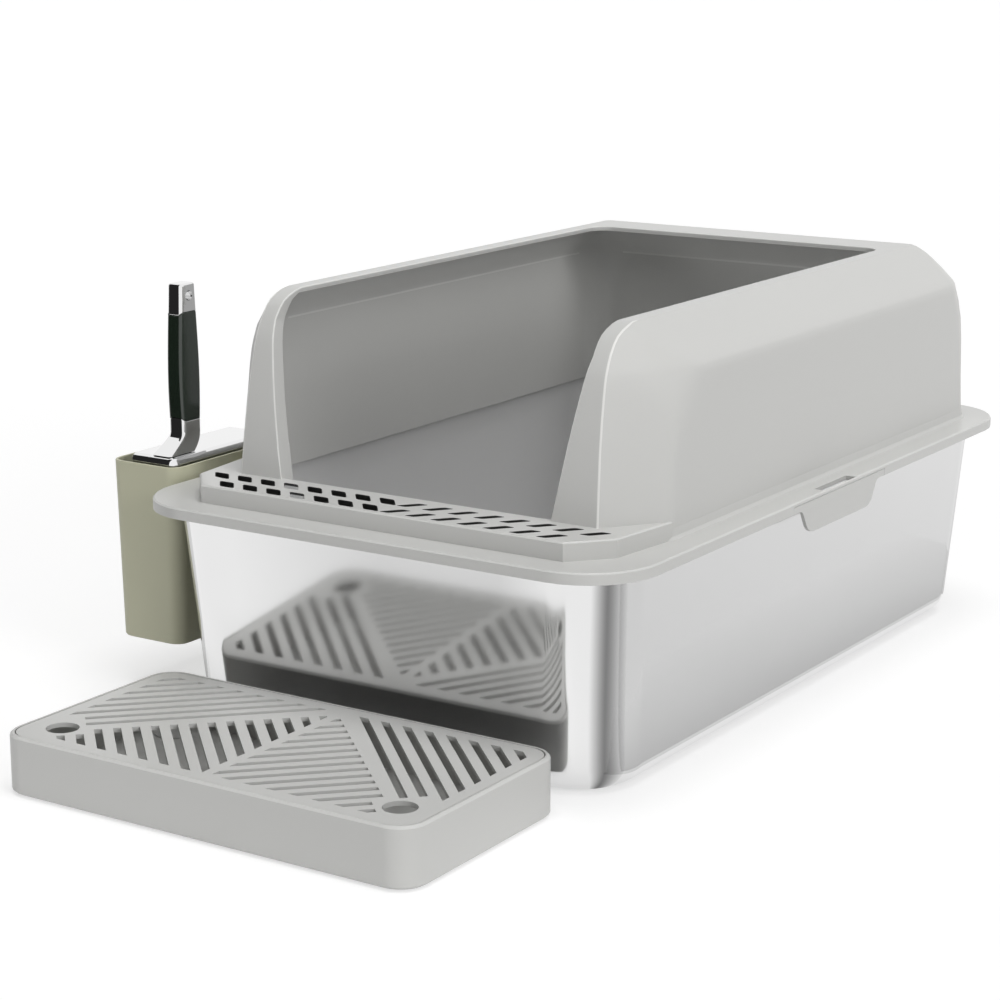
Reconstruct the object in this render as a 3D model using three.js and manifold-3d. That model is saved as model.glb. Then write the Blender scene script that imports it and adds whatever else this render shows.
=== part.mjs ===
// Stainless steel litter box set: steel pan, plastic guard that seats on its rim, step with a
// lift-out grate, and a scoop standing in a holder on the guard's left edge.
// Millimetres, +Z up, X across, +Y to the back. The origin is the centre of the pan's underside.
import * as THREE from 'three';
import { mergeVertices } from 'three/addons/utils/BufferGeometryUtils.js';
import Module from 'manifold-3d';

const wasm = await Module();
wasm.setup();

// Shared clearances and mesh fineness
const SEAT_GAP = 0.3;
const OVERRUN = 5;
const ARC_STEPS = 6;
const BEND_STEPS = 4;
const FINE_STEPS = 2;
const ROUND_STEPS = 24;
const SHARP = 0.2;

// Steel pan
const PAN_WIDTH = 350;
const PAN_LENGTH = 567.6;
const PAN_HEIGHT = 148.7;
const PAN_DRAFT_SIDE = 9.5;
const PAN_DRAFT_END = 11;
const PAN_CORNER = 43.4;
const PAN_FOOT_BEND = 16.5;
const PAN_SHEET = 1;
const PAN_RIM_WIDTH = 8;
const PAN_RIM_BEND = 2.5;
const PAN_HEM = 3;

// Guard flange and skirt
const FLANGE_OVERHANG_SIDE = 13.7;
const FLANGE_OVERHANG_END = 16.2;
const FLANGE_CORNER_GAIN = 5.4;
const FLANGE_THICKNESS = 2.5;
const SKIRT_HEIGHT = 7.5;
const SKIRT_WALL = 2.5;
const FLANGE_EDGE_ROUND = 1;
const WALL = 3;

// Grille platform across the entry
const PLATFORM_RISE = 11.9;
const PLATFORM_SKIN = 2;
const PLATFORM_FRONT_SETBACK = 21.9;
const PLATFORM_FRONT_HALF = 139.2;
const PLATFORM_CHAMFER_X = 22.5;
const PLATFORM_CHAMFER_Y = 25.6;
const GRILLE_PITCH_X = 19.3;
const GRILLE_PITCH_Y = 18.8;
const GRILLE_HOLE_WIDTH = 11.8;
const GRILLE_HOLE_DEPTH = 9.8;
const GRILLE_HOLE_LEAN = 7.9;
const GRILLE_HOLE_ROUND = 1.8;
const GRILLE_HOLE_FLARE = 2.4;
const GRILLE_LIP = 0.5;
const GRILLE_FRONT_MARGIN = 9.8;
const GRILLE_BACK_COUNT = 8;
const GRILLE_FRONT_COUNT = 7;

// Guard walls
const GUARD_FOOT_HALF = 170.4;
const GUARD_FOOT_FILLET = 2.1;
const GUARD_FOOT_FILLET_HEIGHT = 7;
const GUARD_DRAFT = 1.8;
const GUARD_HEIGHT = 132.3;
const GUARD_BACK = 266;
const SHOULDER_DROP = 28;
const SHOULDER_RUN = 32;
const RIM_BAND_SIDE = 12.1;
const RIM_BAND_BACK = 32.7;
const RIM_THICKNESS = 3.6;
const RIM_INNER_CORNER = 14;
const PILLAR_FACE_SETBACK = 62.4;
const PILLAR_OUTER_HALF = 139.1;
const PILLAR_INNER_HALF = 103;
const PILLAR_RETURN = 11.5;
const PILLAR_LEAN = 15;
const DIAGONAL_RUN = 41;

// Side latches, one on each long side
const LATCH_DROP = 17;
const LATCH_TOP_HALF = 70;
const LATCH_FOOT_HALF = 47.5;
const LATCH_CORNER = 7;
const LATCH_CATCH_REACH = 2.4;
const LATCH_CATCH_HEIGHT = 3;
const LATCH_CATCH_HALF = 20;
const LATCH_SLOT_WIDTH = 7.2;
const LATCH_SLOT_HALF = 24.5;
const LATCH_SLOT_INSET = 0.9;

// Scoop holder
const HOLDER_WIDTH = 59;
const HOLDER_LENGTH = 119;
const HOLDER_HEIGHT = 126;
const HOLDER_RISE = 9.5;
const HOLDER_SETBACK = 56;
const HOLDER_WALL = 2;
const HOLDER_DRAFT = 2.1;
const HOLDER_CORNER = 10;
const HOLDER_SIDE_GAP = 1.3;
const HOOK_WIDTH = 34;
const HOOK_THICKNESS = 2.2;
const HOOK_CLEARANCE = 0.4;
const HOOK_DROP = 6;
const HOOK_BACK_SHIFT = 20;

// Scoop
const SCOOP_SHEET = 1.2;
const SCOOP_WIDTH = 110;
const SCOOP_DEPTH = 38;
const SCOOP_LIP_DEPTH = 9;
const SCOOP_LIP_WIDTH = 100;
const SCOOP_LENGTH = 129;
const SCOOP_BACK_BEND = 7;
const SCOOP_CROWN = 5;
const SCOOP_SLOT_COUNT = 9;
const SCOOP_SLOT_WIDTH = 5;
const SCOOP_SLOT_LENGTH = 74;
const SCOOP_SLOT_FOOT = 22;
const SCOOP_SIDE_SHIFT = 6;
const HANDLE_SIDE_SHIFT = 11;
const HANDLE_FRONT_SHIFT = 26;
const HANDLE_THICKNESS = 14;
const HANDLE_WIDTH = 22;
const HANDLE_HEIGHT = 116;
const HANDLE_NECK = 22;
const HANDLE_NECK_WIDTH = 19;
const HANDLE_CAP = 20;
const HANDLE_FOOT_REACH = 17;
const HANDLE_FOOT_HEIGHT = 13;
const HANDLE_TOP_ROUND = 1.4;
const HANG_HOLE_DROP = 8.4;
const HANDLE_TOP_WIDTH = 15.5;
const HANDLE_TOP_THICKNESS = 12.8;
const HANDLE_FLARE = 1.18;
const HANDLE_CORNER = 3;
const TANG_WIDTH = 9;
const TANG_THICKNESS = 4;
const TANG_ROUND = 1;
const HANG_HOLE = 7;

// Step: tray, grate and feet
const STEP_WIDTH = 308.5;
const STEP_DEPTH = 160;
const STEP_HEIGHT = 38.9;
const STEP_CORNER = 18;
const STEP_SIDE_SHIFT = -5;
const STEP_PAN_GAP = 21.1;
const STEP_WALL = 3;
const STEP_FLOOR = 2.5;
const STEP_EDGE_ROUND = 1.5;
const STEP_LEDGE = 2.5;
const STEP_LEDGE_HEIGHT = 3;
const FOOT_DIAMETER = 18;
const FOOT_HEIGHT = 2.5;
const FOOT_STAND = 1.5;
const FOOT_INSET = 24;
const GRATE_THICKNESS = 3;
const GRATE_GROOVE = 0.6;
const GRATE_RECESS = 0.3;
const GRATE_MARGIN = 8.8;
const GRATE_BAR = 7;
const GRATE_PITCH = 11.6;
const GRATE_SLOT = 5;
const FINGER_HOLE = 21;
const FINGER_HOLE_INSET = 23;
const FINGER_HOLE_FRONT_INSET = 26;
const FINGER_HOLE_RING = 4;

// Levels shared by the pieces
const FLANGE_UNDER = PAN_HEIGHT + SEAT_GAP;
const FLANGE_TOP = FLANGE_UNDER + FLANGE_THICKNESS;
const SKIRT_BOTTOM = FLANGE_TOP - SKIRT_HEIGHT;
const PLATFORM_TOP = FLANGE_TOP + PLATFORM_RISE;
const GUARD_TOP = FLANGE_TOP + GUARD_HEIGHT;
const FLANGE_HALF_X = PAN_WIDTH / 2 + FLANGE_OVERHANG_SIDE;
const FLANGE_HALF_Y = PAN_LENGTH / 2 + FLANGE_OVERHANG_END;
const FLANGE_CORNER = PAN_CORNER + FLANGE_CORNER_GAIN;

const MATERIALS = {
  steel: { color: 0xcfcfce, roughness: 0.22, metalness: 1 },
  guard: { color: 0xc9c9c6, roughness: 0.42, metalness: 0 },
  step: { color: 0xc2c2bf, roughness: 0.45, metalness: 0 },
  sage: { color: 0xa5a58c, roughness: 0.5, metalness: 0 },
  grip: { color: 0x3b433c, roughness: 0.5, metalness: 0 },
  chrome: { color: 0xdadada, roughness: 0.08, metalness: 1 },
  rubber: { color: 0x55565a, roughness: 0.8, metalness: 0 },
};

const litterBox = new THREE.Group();

// Adds one named sub-part made of one finish.
function addPart(name, finish, geometry) {
  geometry.computeVertexNormals();
  const mesh = new THREE.Mesh(geometry, new THREE.MeshStandardMaterial(MATERIALS[finish]));
  mesh.name = name;
  litterBox.add(mesh);
}

// Solid from a closed geometry.
function solid(geometry) {
  const bare = new THREE.BufferGeometry();
  bare.setAttribute('position', geometry.getAttribute('position').clone());
  if (geometry.index) bare.setIndex(geometry.index.clone());
  const merged = mergeVertices(bare);
  const mesh = new wasm.Mesh({
    numProp: 3,
    vertProperties: new Float32Array(merged.getAttribute('position').array),
    triVerts: new Uint32Array(merged.index.array),
  });
  return new wasm.Manifold(mesh);
}

// Geometry from a solid.
function geometryOf(body) {
  const mesh = body.getMesh();
  const geometry = new THREE.BufferGeometry();
  geometry.setAttribute('position', new THREE.BufferAttribute(new Float32Array(mesh.vertProperties), 3));
  geometry.setIndex(new THREE.BufferAttribute(new Uint32Array(mesh.triVerts), 1));
  return geometry;
}

// Box between two corners.
function block(x0, x1, y0, y1, z0, z1) {
  const geometry = new THREE.BoxGeometry(x1 - x0, y1 - y0, z1 - z0);
  geometry.translate((x0 + x1) / 2, (y0 + y1) / 2, (z0 + z1) / 2);
  return solid(geometry);
}

// Points along the arc that rounds one corner; tangent is how far the arc starts from the corner.
function cornerArc(before, corner, after, tangent, steps) {
  const back = before.clone().sub(corner).normalize();
  const ahead = after.clone().sub(corner).normalize();
  const half = Math.acos(THREE.MathUtils.clamp(back.dot(ahead), -1, 1)) / 2;
  const middle = back.clone().add(ahead).normalize();
  const centre = corner.clone().addScaledVector(middle, tangent / Math.cos(half));
  const start = corner.clone().addScaledVector(back, tangent).sub(centre);
  const turn = back.cross(ahead) > 0 ? -1 : 1;
  const sweep = turn * (Math.PI - 2 * half);
  const points = [];
  for (let step = 0; step <= steps; step += 1) {
    points.push(start.clone().rotateAround(new THREE.Vector2(), sweep * step / steps).add(centre));
  }
  return points;
}

// Closed outline from corners [x, y, tangent, steps]; a corner without a tangent stays sharp.
function outline(corners) {
  const places = corners.map(([x, y]) => new THREE.Vector2(x, y));
  return corners.flatMap(([, , tangent, steps], index) => {
    const corner = places[index];
    if (!tangent) return [corner];
    const before = places[(index + places.length - 1) % places.length];
    const after = places[(index + 1) % places.length];
    return cornerArc(before, corner, after, tangent, steps);
  });
}

// Rounded rectangle, counter-clockwise seen from above.
function roundedRectangle(halfX, halfY, radius, steps = ARC_STEPS, centreX = 0, centreY = 0) {
  const corner = Math.max(radius, SHARP);
  return outline([
    [centreX - halfX, centreY - halfY, corner, steps],
    [centreX + halfX, centreY - halfY, corner, steps],
    [centreX + halfX, centreY + halfY, corner, steps],
    [centreX - halfX, centreY + halfY, corner, steps],
  ]);
}

// Skin through rings [points, height], capped at its first and last ring. Rings run
// counter-clockwise from above where the skin climbs, so its faces point out.
function loft(rings) {
  const count = rings[0][0].length;
  const positions = rings.flatMap(([points, height]) => points.flatMap(({ x, y }) => [x, y, height]));
  const faces = [];
  for (let ring = 0; ring + 1 < rings.length; ring += 1) {
    for (let side = 0; side < count; side += 1) {
      const next = (side + 1) % count;
      const low = ring * count;
      const high = low + count;
      faces.push(low + side, low + next, high + next);
      faces.push(low + side, high + next, high + side);
    }
  }
  const last = (rings.length - 1) * count;
  const firstCap = THREE.ShapeUtils.triangulateShape(rings[0][0], []);
  const lastCap = THREE.ShapeUtils.triangulateShape(rings[rings.length - 1][0], []);
  firstCap.forEach(([a, b, c]) => faces.push(a, c, b));
  lastCap.forEach(([a, b, c]) => faces.push(last + a, last + b, last + c));
  const geometry = new THREE.BufferGeometry();
  geometry.setAttribute('position', new THREE.Float32BufferAttribute(positions, 3));
  geometry.setIndex(faces);
  return geometry;
}

// Straight prism on an outline.
function prism(points, bottom, top) {
  return solid(loft([[points, bottom], [points, top]]));
}

// Steel pan: pressed vessel with drafted walls, a flat rim and a hem under its edge
function panHalf(height, outset) {
  const rise = height / PAN_HEIGHT;
  return {
    x: PAN_WIDTH / 2 - PAN_DRAFT_SIDE * (1 - rise) + outset,
    y: PAN_LENGTH / 2 - PAN_DRAFT_END * (1 - rise) + outset,
  };
}

function panRing(height, outset) {
  const half = panHalf(height, outset);
  return [roundedRectangle(half.x, half.y, PAN_CORNER + outset), height];
}

function bend(radius, centreOut, centreUp, from, to) {
  const points = [];
  for (let step = 0; step <= BEND_STEPS; step += 1) {
    const angle = THREE.MathUtils.degToRad(from + (to - from) * step / BEND_STEPS);
    points.push([centreUp + radius * Math.sin(angle), centreOut + radius * Math.cos(angle)]);
  }
  return points;
}

function makePan() {
  const footOuter = bend(PAN_FOOT_BEND, -PAN_FOOT_BEND, PAN_FOOT_BEND, -90, 0);
  const footInner = bend(PAN_FOOT_BEND - PAN_SHEET, -PAN_FOOT_BEND, PAN_FOOT_BEND, 0, -90);
  const bendCentre = PAN_HEIGHT - PAN_SHEET - PAN_RIM_BEND;
  const rimUnder = bend(PAN_RIM_BEND, PAN_RIM_BEND, bendCentre, 180, 90);
  const rimOver = bend(PAN_RIM_BEND + PAN_SHEET, PAN_RIM_BEND, bendCentre, 90, 180);
  const hem = [
    [PAN_HEIGHT - PAN_SHEET, PAN_RIM_WIDTH - PAN_SHEET],
    [PAN_HEIGHT - PAN_SHEET - PAN_HEM, PAN_RIM_WIDTH - PAN_SHEET],
    [PAN_HEIGHT - PAN_SHEET - PAN_HEM, PAN_RIM_WIDTH],
    [PAN_HEIGHT, PAN_RIM_WIDTH],
  ];
  const profile = [...footOuter, ...rimUnder, ...hem, ...rimOver, ...footInner];
  return loft(profile.map(([height, outset]) => panRing(height, outset)));
}

// Guard: the front face leans back and rounds over into the rim, the shoulder slopes in to the rim
const SHOULDER_Z = GUARD_TOP - SHOULDER_DROP;
const GUARD_WALL_HALF = GUARD_FOOT_HALF - GUARD_FOOT_FILLET;
const RIM_HALF = GUARD_WALL_HALF - GUARD_DRAFT - SHOULDER_RUN;
const PILLAR_INNER_TOP_HALF = RIM_HALF - RIM_BAND_SIDE;
const PILLAR_FACE = -FLANGE_HALF_Y + PILLAR_FACE_SETBACK;
const DIAGONAL_BACK = PILLAR_FACE + DIAGONAL_RUN;

// How far each level stands from the straight wall, as shares of the guard's own sizes.
// rise: share of the guard's height; lean: share of the pillar's lean; tuck: share of the
// shoulder's run; sweep: how far the diagonal's back corner moves back, share of the diagonal;
// front and back: rounding of the corners, shares of the diagonal.
const GUARD_LEVEL_SHARES = [
  { rise: 0, lean: 0, tuck: 0, sweep: 0, front: 0.1, back: 0.45 },
  { rise: 0.053, lean: 0, tuck: 0, sweep: 0, front: 0.1, back: 0.45 },
  { rise: 0.25, lean: 0.18, tuck: 0, sweep: 0.05, front: 0.1, back: 0.5 },
  { rise: 0.45, lean: 0.4, tuck: 0, sweep: 0.12, front: 0.13, back: 0.52 },
  { rise: 0.58, lean: 0.6, tuck: 0, sweep: 0.17, front: 0.24, back: 0.58 },
  { rise: 0.68, lean: 0.78, tuck: 0, sweep: 0.21, front: 0.48, back: 0.72 },
  { rise: 0.74, lean: 0.9, tuck: 0, sweep: 0.24, front: 0.72, back: 0.86 },
  { rise: 0.778, lean: 1.0, tuck: 0.008, sweep: 0.26, front: 0.85, back: 0.92 },
  { rise: 0.8, lean: 1.08, tuck: 0.06, sweep: 0.26, front: 0.75, back: 0.86 },
  { rise: 0.83, lean: 1.2, tuck: 0.185, sweep: 0.26, front: 0.6, back: 0.74 },
  { rise: 0.875, lean: 1.42, tuck: 0.395, sweep: 0.22, front: 0.35, back: 0.5 },
  { rise: 0.92, lean: 1.72, tuck: 0.61, sweep: 0.14, front: 0.2, back: 0.28 },
  { rise: 0.95, lean: 2.0, tuck: 0.75, sweep: 0.1, front: 0.13, back: 0.17 },
  { rise: 0.973, lean: 2.4, tuck: 0.86, sweep: 0.14, front: 0.1, back: 0.13 },
  { rise: 0.99, lean: 2.85, tuck: 0.945, sweep: 0.25, front: 0.08, back: 0.12 },
  { rise: 1, lean: 3.3, tuck: 1.02, sweep: 0.4, front: 0.08, back: 0.12 },
];

// Shares of the guard's height at which a pillar's edges reach the rim's, and at which the entry
// is cut; how much of a wall's inset the slanted diagonal and the pillar's edge take.
const PILLAR_INNER_RISE_SHARE = 0.86;
const PILLAR_OUTER_RISE_SHARE = 0.9;
const ENTRY_RISE_SHARES = [0.0901, 0.25, 0.45, 0.65, PILLAR_INNER_RISE_SHARE, 1.05];
const RETURN_RISE_SHARES = { from: 0.05, to: 0.985, taper: 0.25 };
const SLANT_INSET_SHARE = 0.4;

function pillarEdge(rise) {
  const innerShare = Math.min(1, rise / PILLAR_INNER_RISE_SHARE);
  const outerShare = Math.min(1, rise / PILLAR_OUTER_RISE_SHARE);
  const inner = THREE.MathUtils.lerp(PILLAR_INNER_HALF, PILLAR_INNER_TOP_HALF, innerShare);
  const outer = THREE.MathUtils.lerp(PILLAR_OUTER_HALF, RIM_HALF - SHARP, outerShare);
  return { inner, outer };
}

function guardLevel({ rise, lean, tuck, sweep, front, back }, inset) {
  const drafted = GUARD_WALL_HALF - GUARD_DRAFT * Math.min(1, rise);
  const side = drafted - SHOULDER_RUN * tuck - inset;
  const face = PILLAR_FACE + PILLAR_LEAN * lean + inset;
  const rear = GUARD_BACK - GUARD_DRAFT * rise - SHOULDER_RUN * tuck - inset;
  const turn = DIAGONAL_BACK + DIAGONAL_RUN * sweep + inset * SLANT_INSET_SHARE;
  const pillar = Math.min(pillarEdge(rise).outer, side - SHARP) - inset * SLANT_INSET_SHARE;
  const frontRound = DIAGONAL_RUN * front;
  const backRound = DIAGONAL_RUN * back;
  const half = [[pillar, face], [side, turn, frontRound, BEND_STEPS], [side, rear, backRound, ARC_STEPS]];
  const mirrored = half.map(([x, ...rest]) => [-x, ...rest]).reverse();
  return [outline([...half, ...mirrored]), FLANGE_TOP + GUARD_HEIGHT * rise];
}

// Level at any share of the guard's height, between the two nearest levels of the table
function levelAt(rise) {
  const above = GUARD_LEVEL_SHARES.find((level) => level.rise >= rise);
  const below = GUARD_LEVEL_SHARES.findLast((level) => level.rise <= rise);
  const span = above.rise - below.rise || 1;
  const mix = (key) => THREE.MathUtils.lerp(below[key], above[key], (rise - below.rise) / span);
  return Object.fromEntries(Object.keys(below).map((key) => [key, mix(key)]));
}

function guardOuter() {
  const rings = GUARD_LEVEL_SHARES.map((level) => guardLevel(level, 0));
  const foot = guardLevel(GUARD_LEVEL_SHARES[0], 0)[0];
  return solid(loft([[foot, FLANGE_UNDER], ...rings]));
}

function guardCavity() {
  const rimUnder = 1 - RIM_THICKNESS / GUARD_HEIGHT;
  const levels = [...GUARD_LEVEL_SHARES.filter(({ rise }) => rise < rimUnder), levelAt(rimUnder)];
  const rings = levels.map((level) => guardLevel(level, WALL));
  return solid(loft([[rings[0][0], SKIRT_BOTTOM], ...rings.slice(1)]));
}

// Fillet that joins the wall to the flange; its middle is at these shares of its width and height
const FILLET_MIDDLE_SHARE = 0.3;

function guardFillet() {
  const foot = guardLevel(GUARD_LEVEL_SHARES[0], -GUARD_FOOT_FILLET)[0];
  const wall = guardLevel(GUARD_LEVEL_SHARES[0], 0)[0];
  const between = guardLevel(GUARD_LEVEL_SHARES[0], -GUARD_FOOT_FILLET * FILLET_MIDDLE_SHARE)[0];
  const top = FLANGE_TOP + GUARD_FOOT_FILLET_HEIGHT;
  const middle = FLANGE_TOP + GUARD_FOOT_FILLET_HEIGHT * FILLET_MIDDLE_SHARE;
  return solid(loft([[foot, FLANGE_UNDER], [foot, FLANGE_TOP], [between, middle], [wall, top]]));
}

// How much of an inset the platform's chamfers take along X and along Y
const CHAMFER_INSET_SHARES = { x: 0.45, y: 0.5 };

function platformOutline(inset) {
  const front = -FLANGE_HALF_Y + PLATFORM_FRONT_SETBACK + inset;
  const frontHalf = PLATFORM_FRONT_HALF - inset * CHAMFER_INSET_SHARES.x;
  const sideHalf = PLATFORM_FRONT_HALF + PLATFORM_CHAMFER_X - inset;
  const chamferBack = front + PLATFORM_CHAMFER_Y - inset * CHAMFER_INSET_SHARES.y;
  const half = [[frontHalf, front], [sideHalf, chamferBack], [GUARD_WALL_HALF - inset, DIAGONAL_BACK]];
  return outline([...half, ...half.map(([x, y]) => [-x, y]).reverse()]);
}

// One leaning grille hole that widens below a thin lip; the left half's holes lean the other way.
function grilleOutline(x, y, side, grow) {
  const lean = side * GRILLE_HOLE_LEAN / 2;
  const halfWidth = GRILLE_HOLE_WIDTH / 2 + grow;
  const halfDepth = GRILLE_HOLE_DEPTH / 2 + grow;
  return outline([
    [x - halfWidth - lean, y - halfDepth, GRILLE_HOLE_ROUND, FINE_STEPS],
    [x + halfWidth - lean, y - halfDepth, GRILLE_HOLE_ROUND, FINE_STEPS],
    [x + halfWidth + lean, y + halfDepth, GRILLE_HOLE_ROUND, FINE_STEPS],
    [x - halfWidth + lean, y + halfDepth, GRILLE_HOLE_ROUND, FINE_STEPS],
  ]);
}

function grilleHole(x, y, side) {
  const narrow = grilleOutline(x, y, side, 0);
  const wide = grilleOutline(x, y, side, GRILLE_HOLE_FLARE);
  return solid(loft([
    [wide, PLATFORM_TOP - PLATFORM_SKIN - OVERRUN],
    [wide, PLATFORM_TOP - PLATFORM_SKIN],
    [narrow, PLATFORM_TOP - GRILLE_LIP],
    [narrow, PLATFORM_TOP + OVERRUN],
  ]));
}

function grilleHoles() {
  const frontRow = -FLANGE_HALF_Y + PLATFORM_FRONT_SETBACK + GRILLE_FRONT_MARGIN;
  const rows = [[frontRow, GRILLE_FRONT_COUNT], [frontRow + GRILLE_PITCH_Y, GRILLE_BACK_COUNT]];
  return rows.flatMap(([y, count]) => Array.from({ length: count }, (_, index) => {
    const x = GRILLE_PITCH_X * index + GRILLE_PITCH_X / 2;
    return [grilleHole(x, y, 1), grilleHole(-x, y, -1)];
  }).flat());
}

// Opening between the pillars, widening with height, and the open top inside the rim
function guardOpening() {
  const topLevel = GUARD_LEVEL_SHARES[GUARD_LEVEL_SHARES.length - 1];
  const entryBack = PILLAR_FACE + PILLAR_RETURN + PILLAR_LEAN * topLevel.lean + OVERRUN * 2;
  const front = -FLANGE_HALF_Y - OVERRUN;
  const rings = ENTRY_RISE_SHARES.map((rise) => {
    const half = pillarEdge(rise).inner;
    return [outline([[-half, front], [half, front], [half, entryBack], [-half, entryBack]]),
      FLANGE_TOP + GUARD_HEIGHT * rise];
  });
  const topHalf = PILLAR_INNER_TOP_HALF;
  const topBack = GUARD_BACK - GUARD_DRAFT - SHOULDER_RUN - RIM_BAND_BACK - GUARD_DRAFT;
  const top = outline([
    [-topHalf, entryBack - OVERRUN],
    [topHalf, entryBack - OVERRUN],
    [topHalf, topBack, RIM_INNER_CORNER, BEND_STEPS],
    [-topHalf, topBack, RIM_INNER_CORNER, BEND_STEPS],
  ]);
  return solid(loft(rings)).add(prism(top, GUARD_TOP - RIM_THICKNESS - OVERRUN, GUARD_TOP + OVERRUN));
}

// Lips that turn back from the pillars' inner edges
function pillarReturn(side) {
  const { from, to, taper } = RETURN_RISE_SHARES;
  const levels = [...GUARD_LEVEL_SHARES.filter(({ rise }) => rise > from && rise < to), levelAt(to)];
  const rings = levels.map(({ rise, lean }) => {
    const inner = pillarEdge(rise).inner;
    const face = PILLAR_FACE + PILLAR_LEAN * lean + WALL / 2;
    const depth = PILLAR_RETURN - PILLAR_RETURN * taper * rise;
    const points = [[inner, face], [inner + WALL, face], [inner + WALL, face + depth], [inner, face + depth]];
    const placed = side > 0 ? points : points.map(([x, y]) => [-x, y]).reverse();
    return [outline(placed), FLANGE_TOP + GUARD_HEIGHT * rise];
  });
  return solid(loft(rings));
}

// Outline of a side latch, seen from the side: wide at the skirt, narrow at its foot. The slope
// share is how far each side leans out over the latch's drop.
const LATCH_SLOPE_SHARE = 0.6;

function latchOutline(grow) {
  const top = FLANGE_UNDER - SEAT_GAP + grow;
  const foot = SKIRT_BOTTOM - LATCH_DROP - grow;
  const flare = LATCH_TOP_HALF + grow;
  const footHalf = LATCH_FOOT_HALF + grow;
  const slope = LATCH_DROP * LATCH_SLOPE_SHARE;
  return outline([
    [-footHalf, foot, LATCH_CORNER, BEND_STEPS],
    [footHalf, foot, LATCH_CORNER, BEND_STEPS],
    [footHalf + slope, SKIRT_BOTTOM - grow, LATCH_CORNER / 2, BEND_STEPS],
    [flare, SKIRT_BOTTOM - grow],
    [flare, top],
    [-flare, top],
    [-flare, SKIRT_BOTTOM - grow],
    [-footHalf - slope, SKIRT_BOTTOM - grow, LATCH_CORNER / 2, BEND_STEPS],
  ]);
}

// Plate on an outline drawn in Y and Z, between two distances from the middle, on either side
function sidePlate(points, side, near, far) {
  const ends = [side * near, side * far].sort((a, b) => a - b);
  const geometry = loft(ends.map((end) => [points, end]));
  geometry.applyMatrix4(new THREE.Matrix4().set(0, 0, 1, 0, 1, 0, 0, 0, 0, 1, 0, 0, 0, 0, 0, 1));
  return solid(geometry);
}

// Box on either side, between two distances from the middle
function sideBlock(side, near, far, halfLength, bottom, top) {
  const [low, high] = [side * near, side * far].sort((a, b) => a - b);
  return block(low, high, -halfLength, halfLength, bottom, top);
}

function latchNotch(side) {
  const near = FLANGE_HALF_X - SKIRT_WALL - OVERRUN / 2;
  return sidePlate(latchOutline(SEAT_GAP), side, near, FLANGE_HALF_X + OVERRUN);
}

function makeLatch(side) {
  const near = FLANGE_HALF_X - SKIRT_WALL;
  const plate = sidePlate(latchOutline(0), side, near, FLANGE_HALF_X);
  const catchTop = PAN_HEIGHT - PAN_SHEET - PAN_HEM - SEAT_GAP;
  const nose = sideBlock(side, near - LATCH_CATCH_REACH, near + SHARP, LATCH_CATCH_HALF,
    catchTop - LATCH_CATCH_HEIGHT, catchTop);
  return geometryOf(plate.add(nose));
}

function latchSlot(side) {
  const outer = FLANGE_HALF_X - LATCH_SLOT_INSET;
  return sideBlock(side, outer - LATCH_SLOT_WIDTH, outer, LATCH_SLOT_HALF,
    FLANGE_UNDER - OVERRUN, FLANGE_TOP + OVERRUN);
}

// Holder's place: just outside the flange's left edge
const HOLDER_TOP = FLANGE_TOP + HOLDER_RISE;
const HOLDER_FRONT = -FLANGE_HALF_Y + HOLDER_SETBACK;
const HOLDER_RIGHT = -FLANGE_HALF_X - HOLDER_SIDE_GAP;
const HOLDER_CENTRE_X = HOLDER_RIGHT - HOLDER_WIDTH / 2;
const HOLDER_CENTRE_Y = HOLDER_FRONT + HOLDER_LENGTH / 2;
const HOLDER_BOTTOM = HOLDER_TOP - HOLDER_HEIGHT;
const HOOK_Y = HOLDER_CENTRE_Y + HOOK_BACK_SHIFT;
const HOOK_TIP = -FLANGE_HALF_X + SKIRT_WALL + HOOK_CLEARANCE + HOOK_THICKNESS;

function hookSlot() {
  const halfWidth = HOOK_WIDTH / 2 + HOOK_CLEARANCE;
  return block(HOOK_TIP - HOOK_THICKNESS - HOOK_CLEARANCE, HOOK_TIP + HOOK_CLEARANCE,
    HOOK_Y - halfWidth, HOOK_Y + halfWidth, FLANGE_UNDER - OVERRUN, FLANGE_TOP + OVERRUN);
}

function makeGuard() {
  const steps = ARC_STEPS + FINE_STEPS;
  const flange = roundedRectangle(FLANGE_HALF_X, FLANGE_HALF_Y, FLANGE_CORNER, steps);
  const softTop = roundedRectangle(FLANGE_HALF_X - FLANGE_EDGE_ROUND, FLANGE_HALF_Y - FLANGE_EDGE_ROUND,
    FLANGE_CORNER - FLANGE_EDGE_ROUND, steps);
  const slab = solid(loft([
    [flange, SKIRT_BOTTOM],
    [flange, FLANGE_TOP - FLANGE_EDGE_ROUND],
    [softTop, FLANGE_TOP],
  ]));
  const skirtInside = prism(roundedRectangle(FLANGE_HALF_X - SKIRT_WALL, FLANGE_HALF_Y - SKIRT_WALL,
    FLANGE_CORNER - SKIRT_WALL, steps), SKIRT_BOTTOM - OVERRUN, FLANGE_UNDER);
  const platform = solid(loft([
    [platformOutline(0), FLANGE_UNDER],
    [platformOutline(0), PLATFORM_TOP - FLANGE_EDGE_ROUND],
    [platformOutline(FLANGE_EDGE_ROUND), PLATFORM_TOP],
  ]));
  const platformUnder = PLATFORM_TOP - PLATFORM_SKIN;
  const platformInside = prism(platformOutline(SKIRT_WALL), SKIRT_BOTTOM - OVERRUN, platformUnder);
  let guard = slab.add(platform).add(guardOuter()).add(guardFillet());
  guard = guard.subtract(guardCavity()).subtract(platformInside).subtract(skirtInside);
  guard = guard.add(pillarReturn(1)).add(pillarReturn(-1));
  guard = guard.subtract(guardOpening());
  grilleHoles().forEach((hole) => { guard = guard.subtract(hole); });
  [1, -1].forEach((side) => { guard = guard.subtract(latchNotch(side)).subtract(latchSlot(side)); });
  return geometryOf(guard.subtract(hookSlot()));
}

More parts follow.
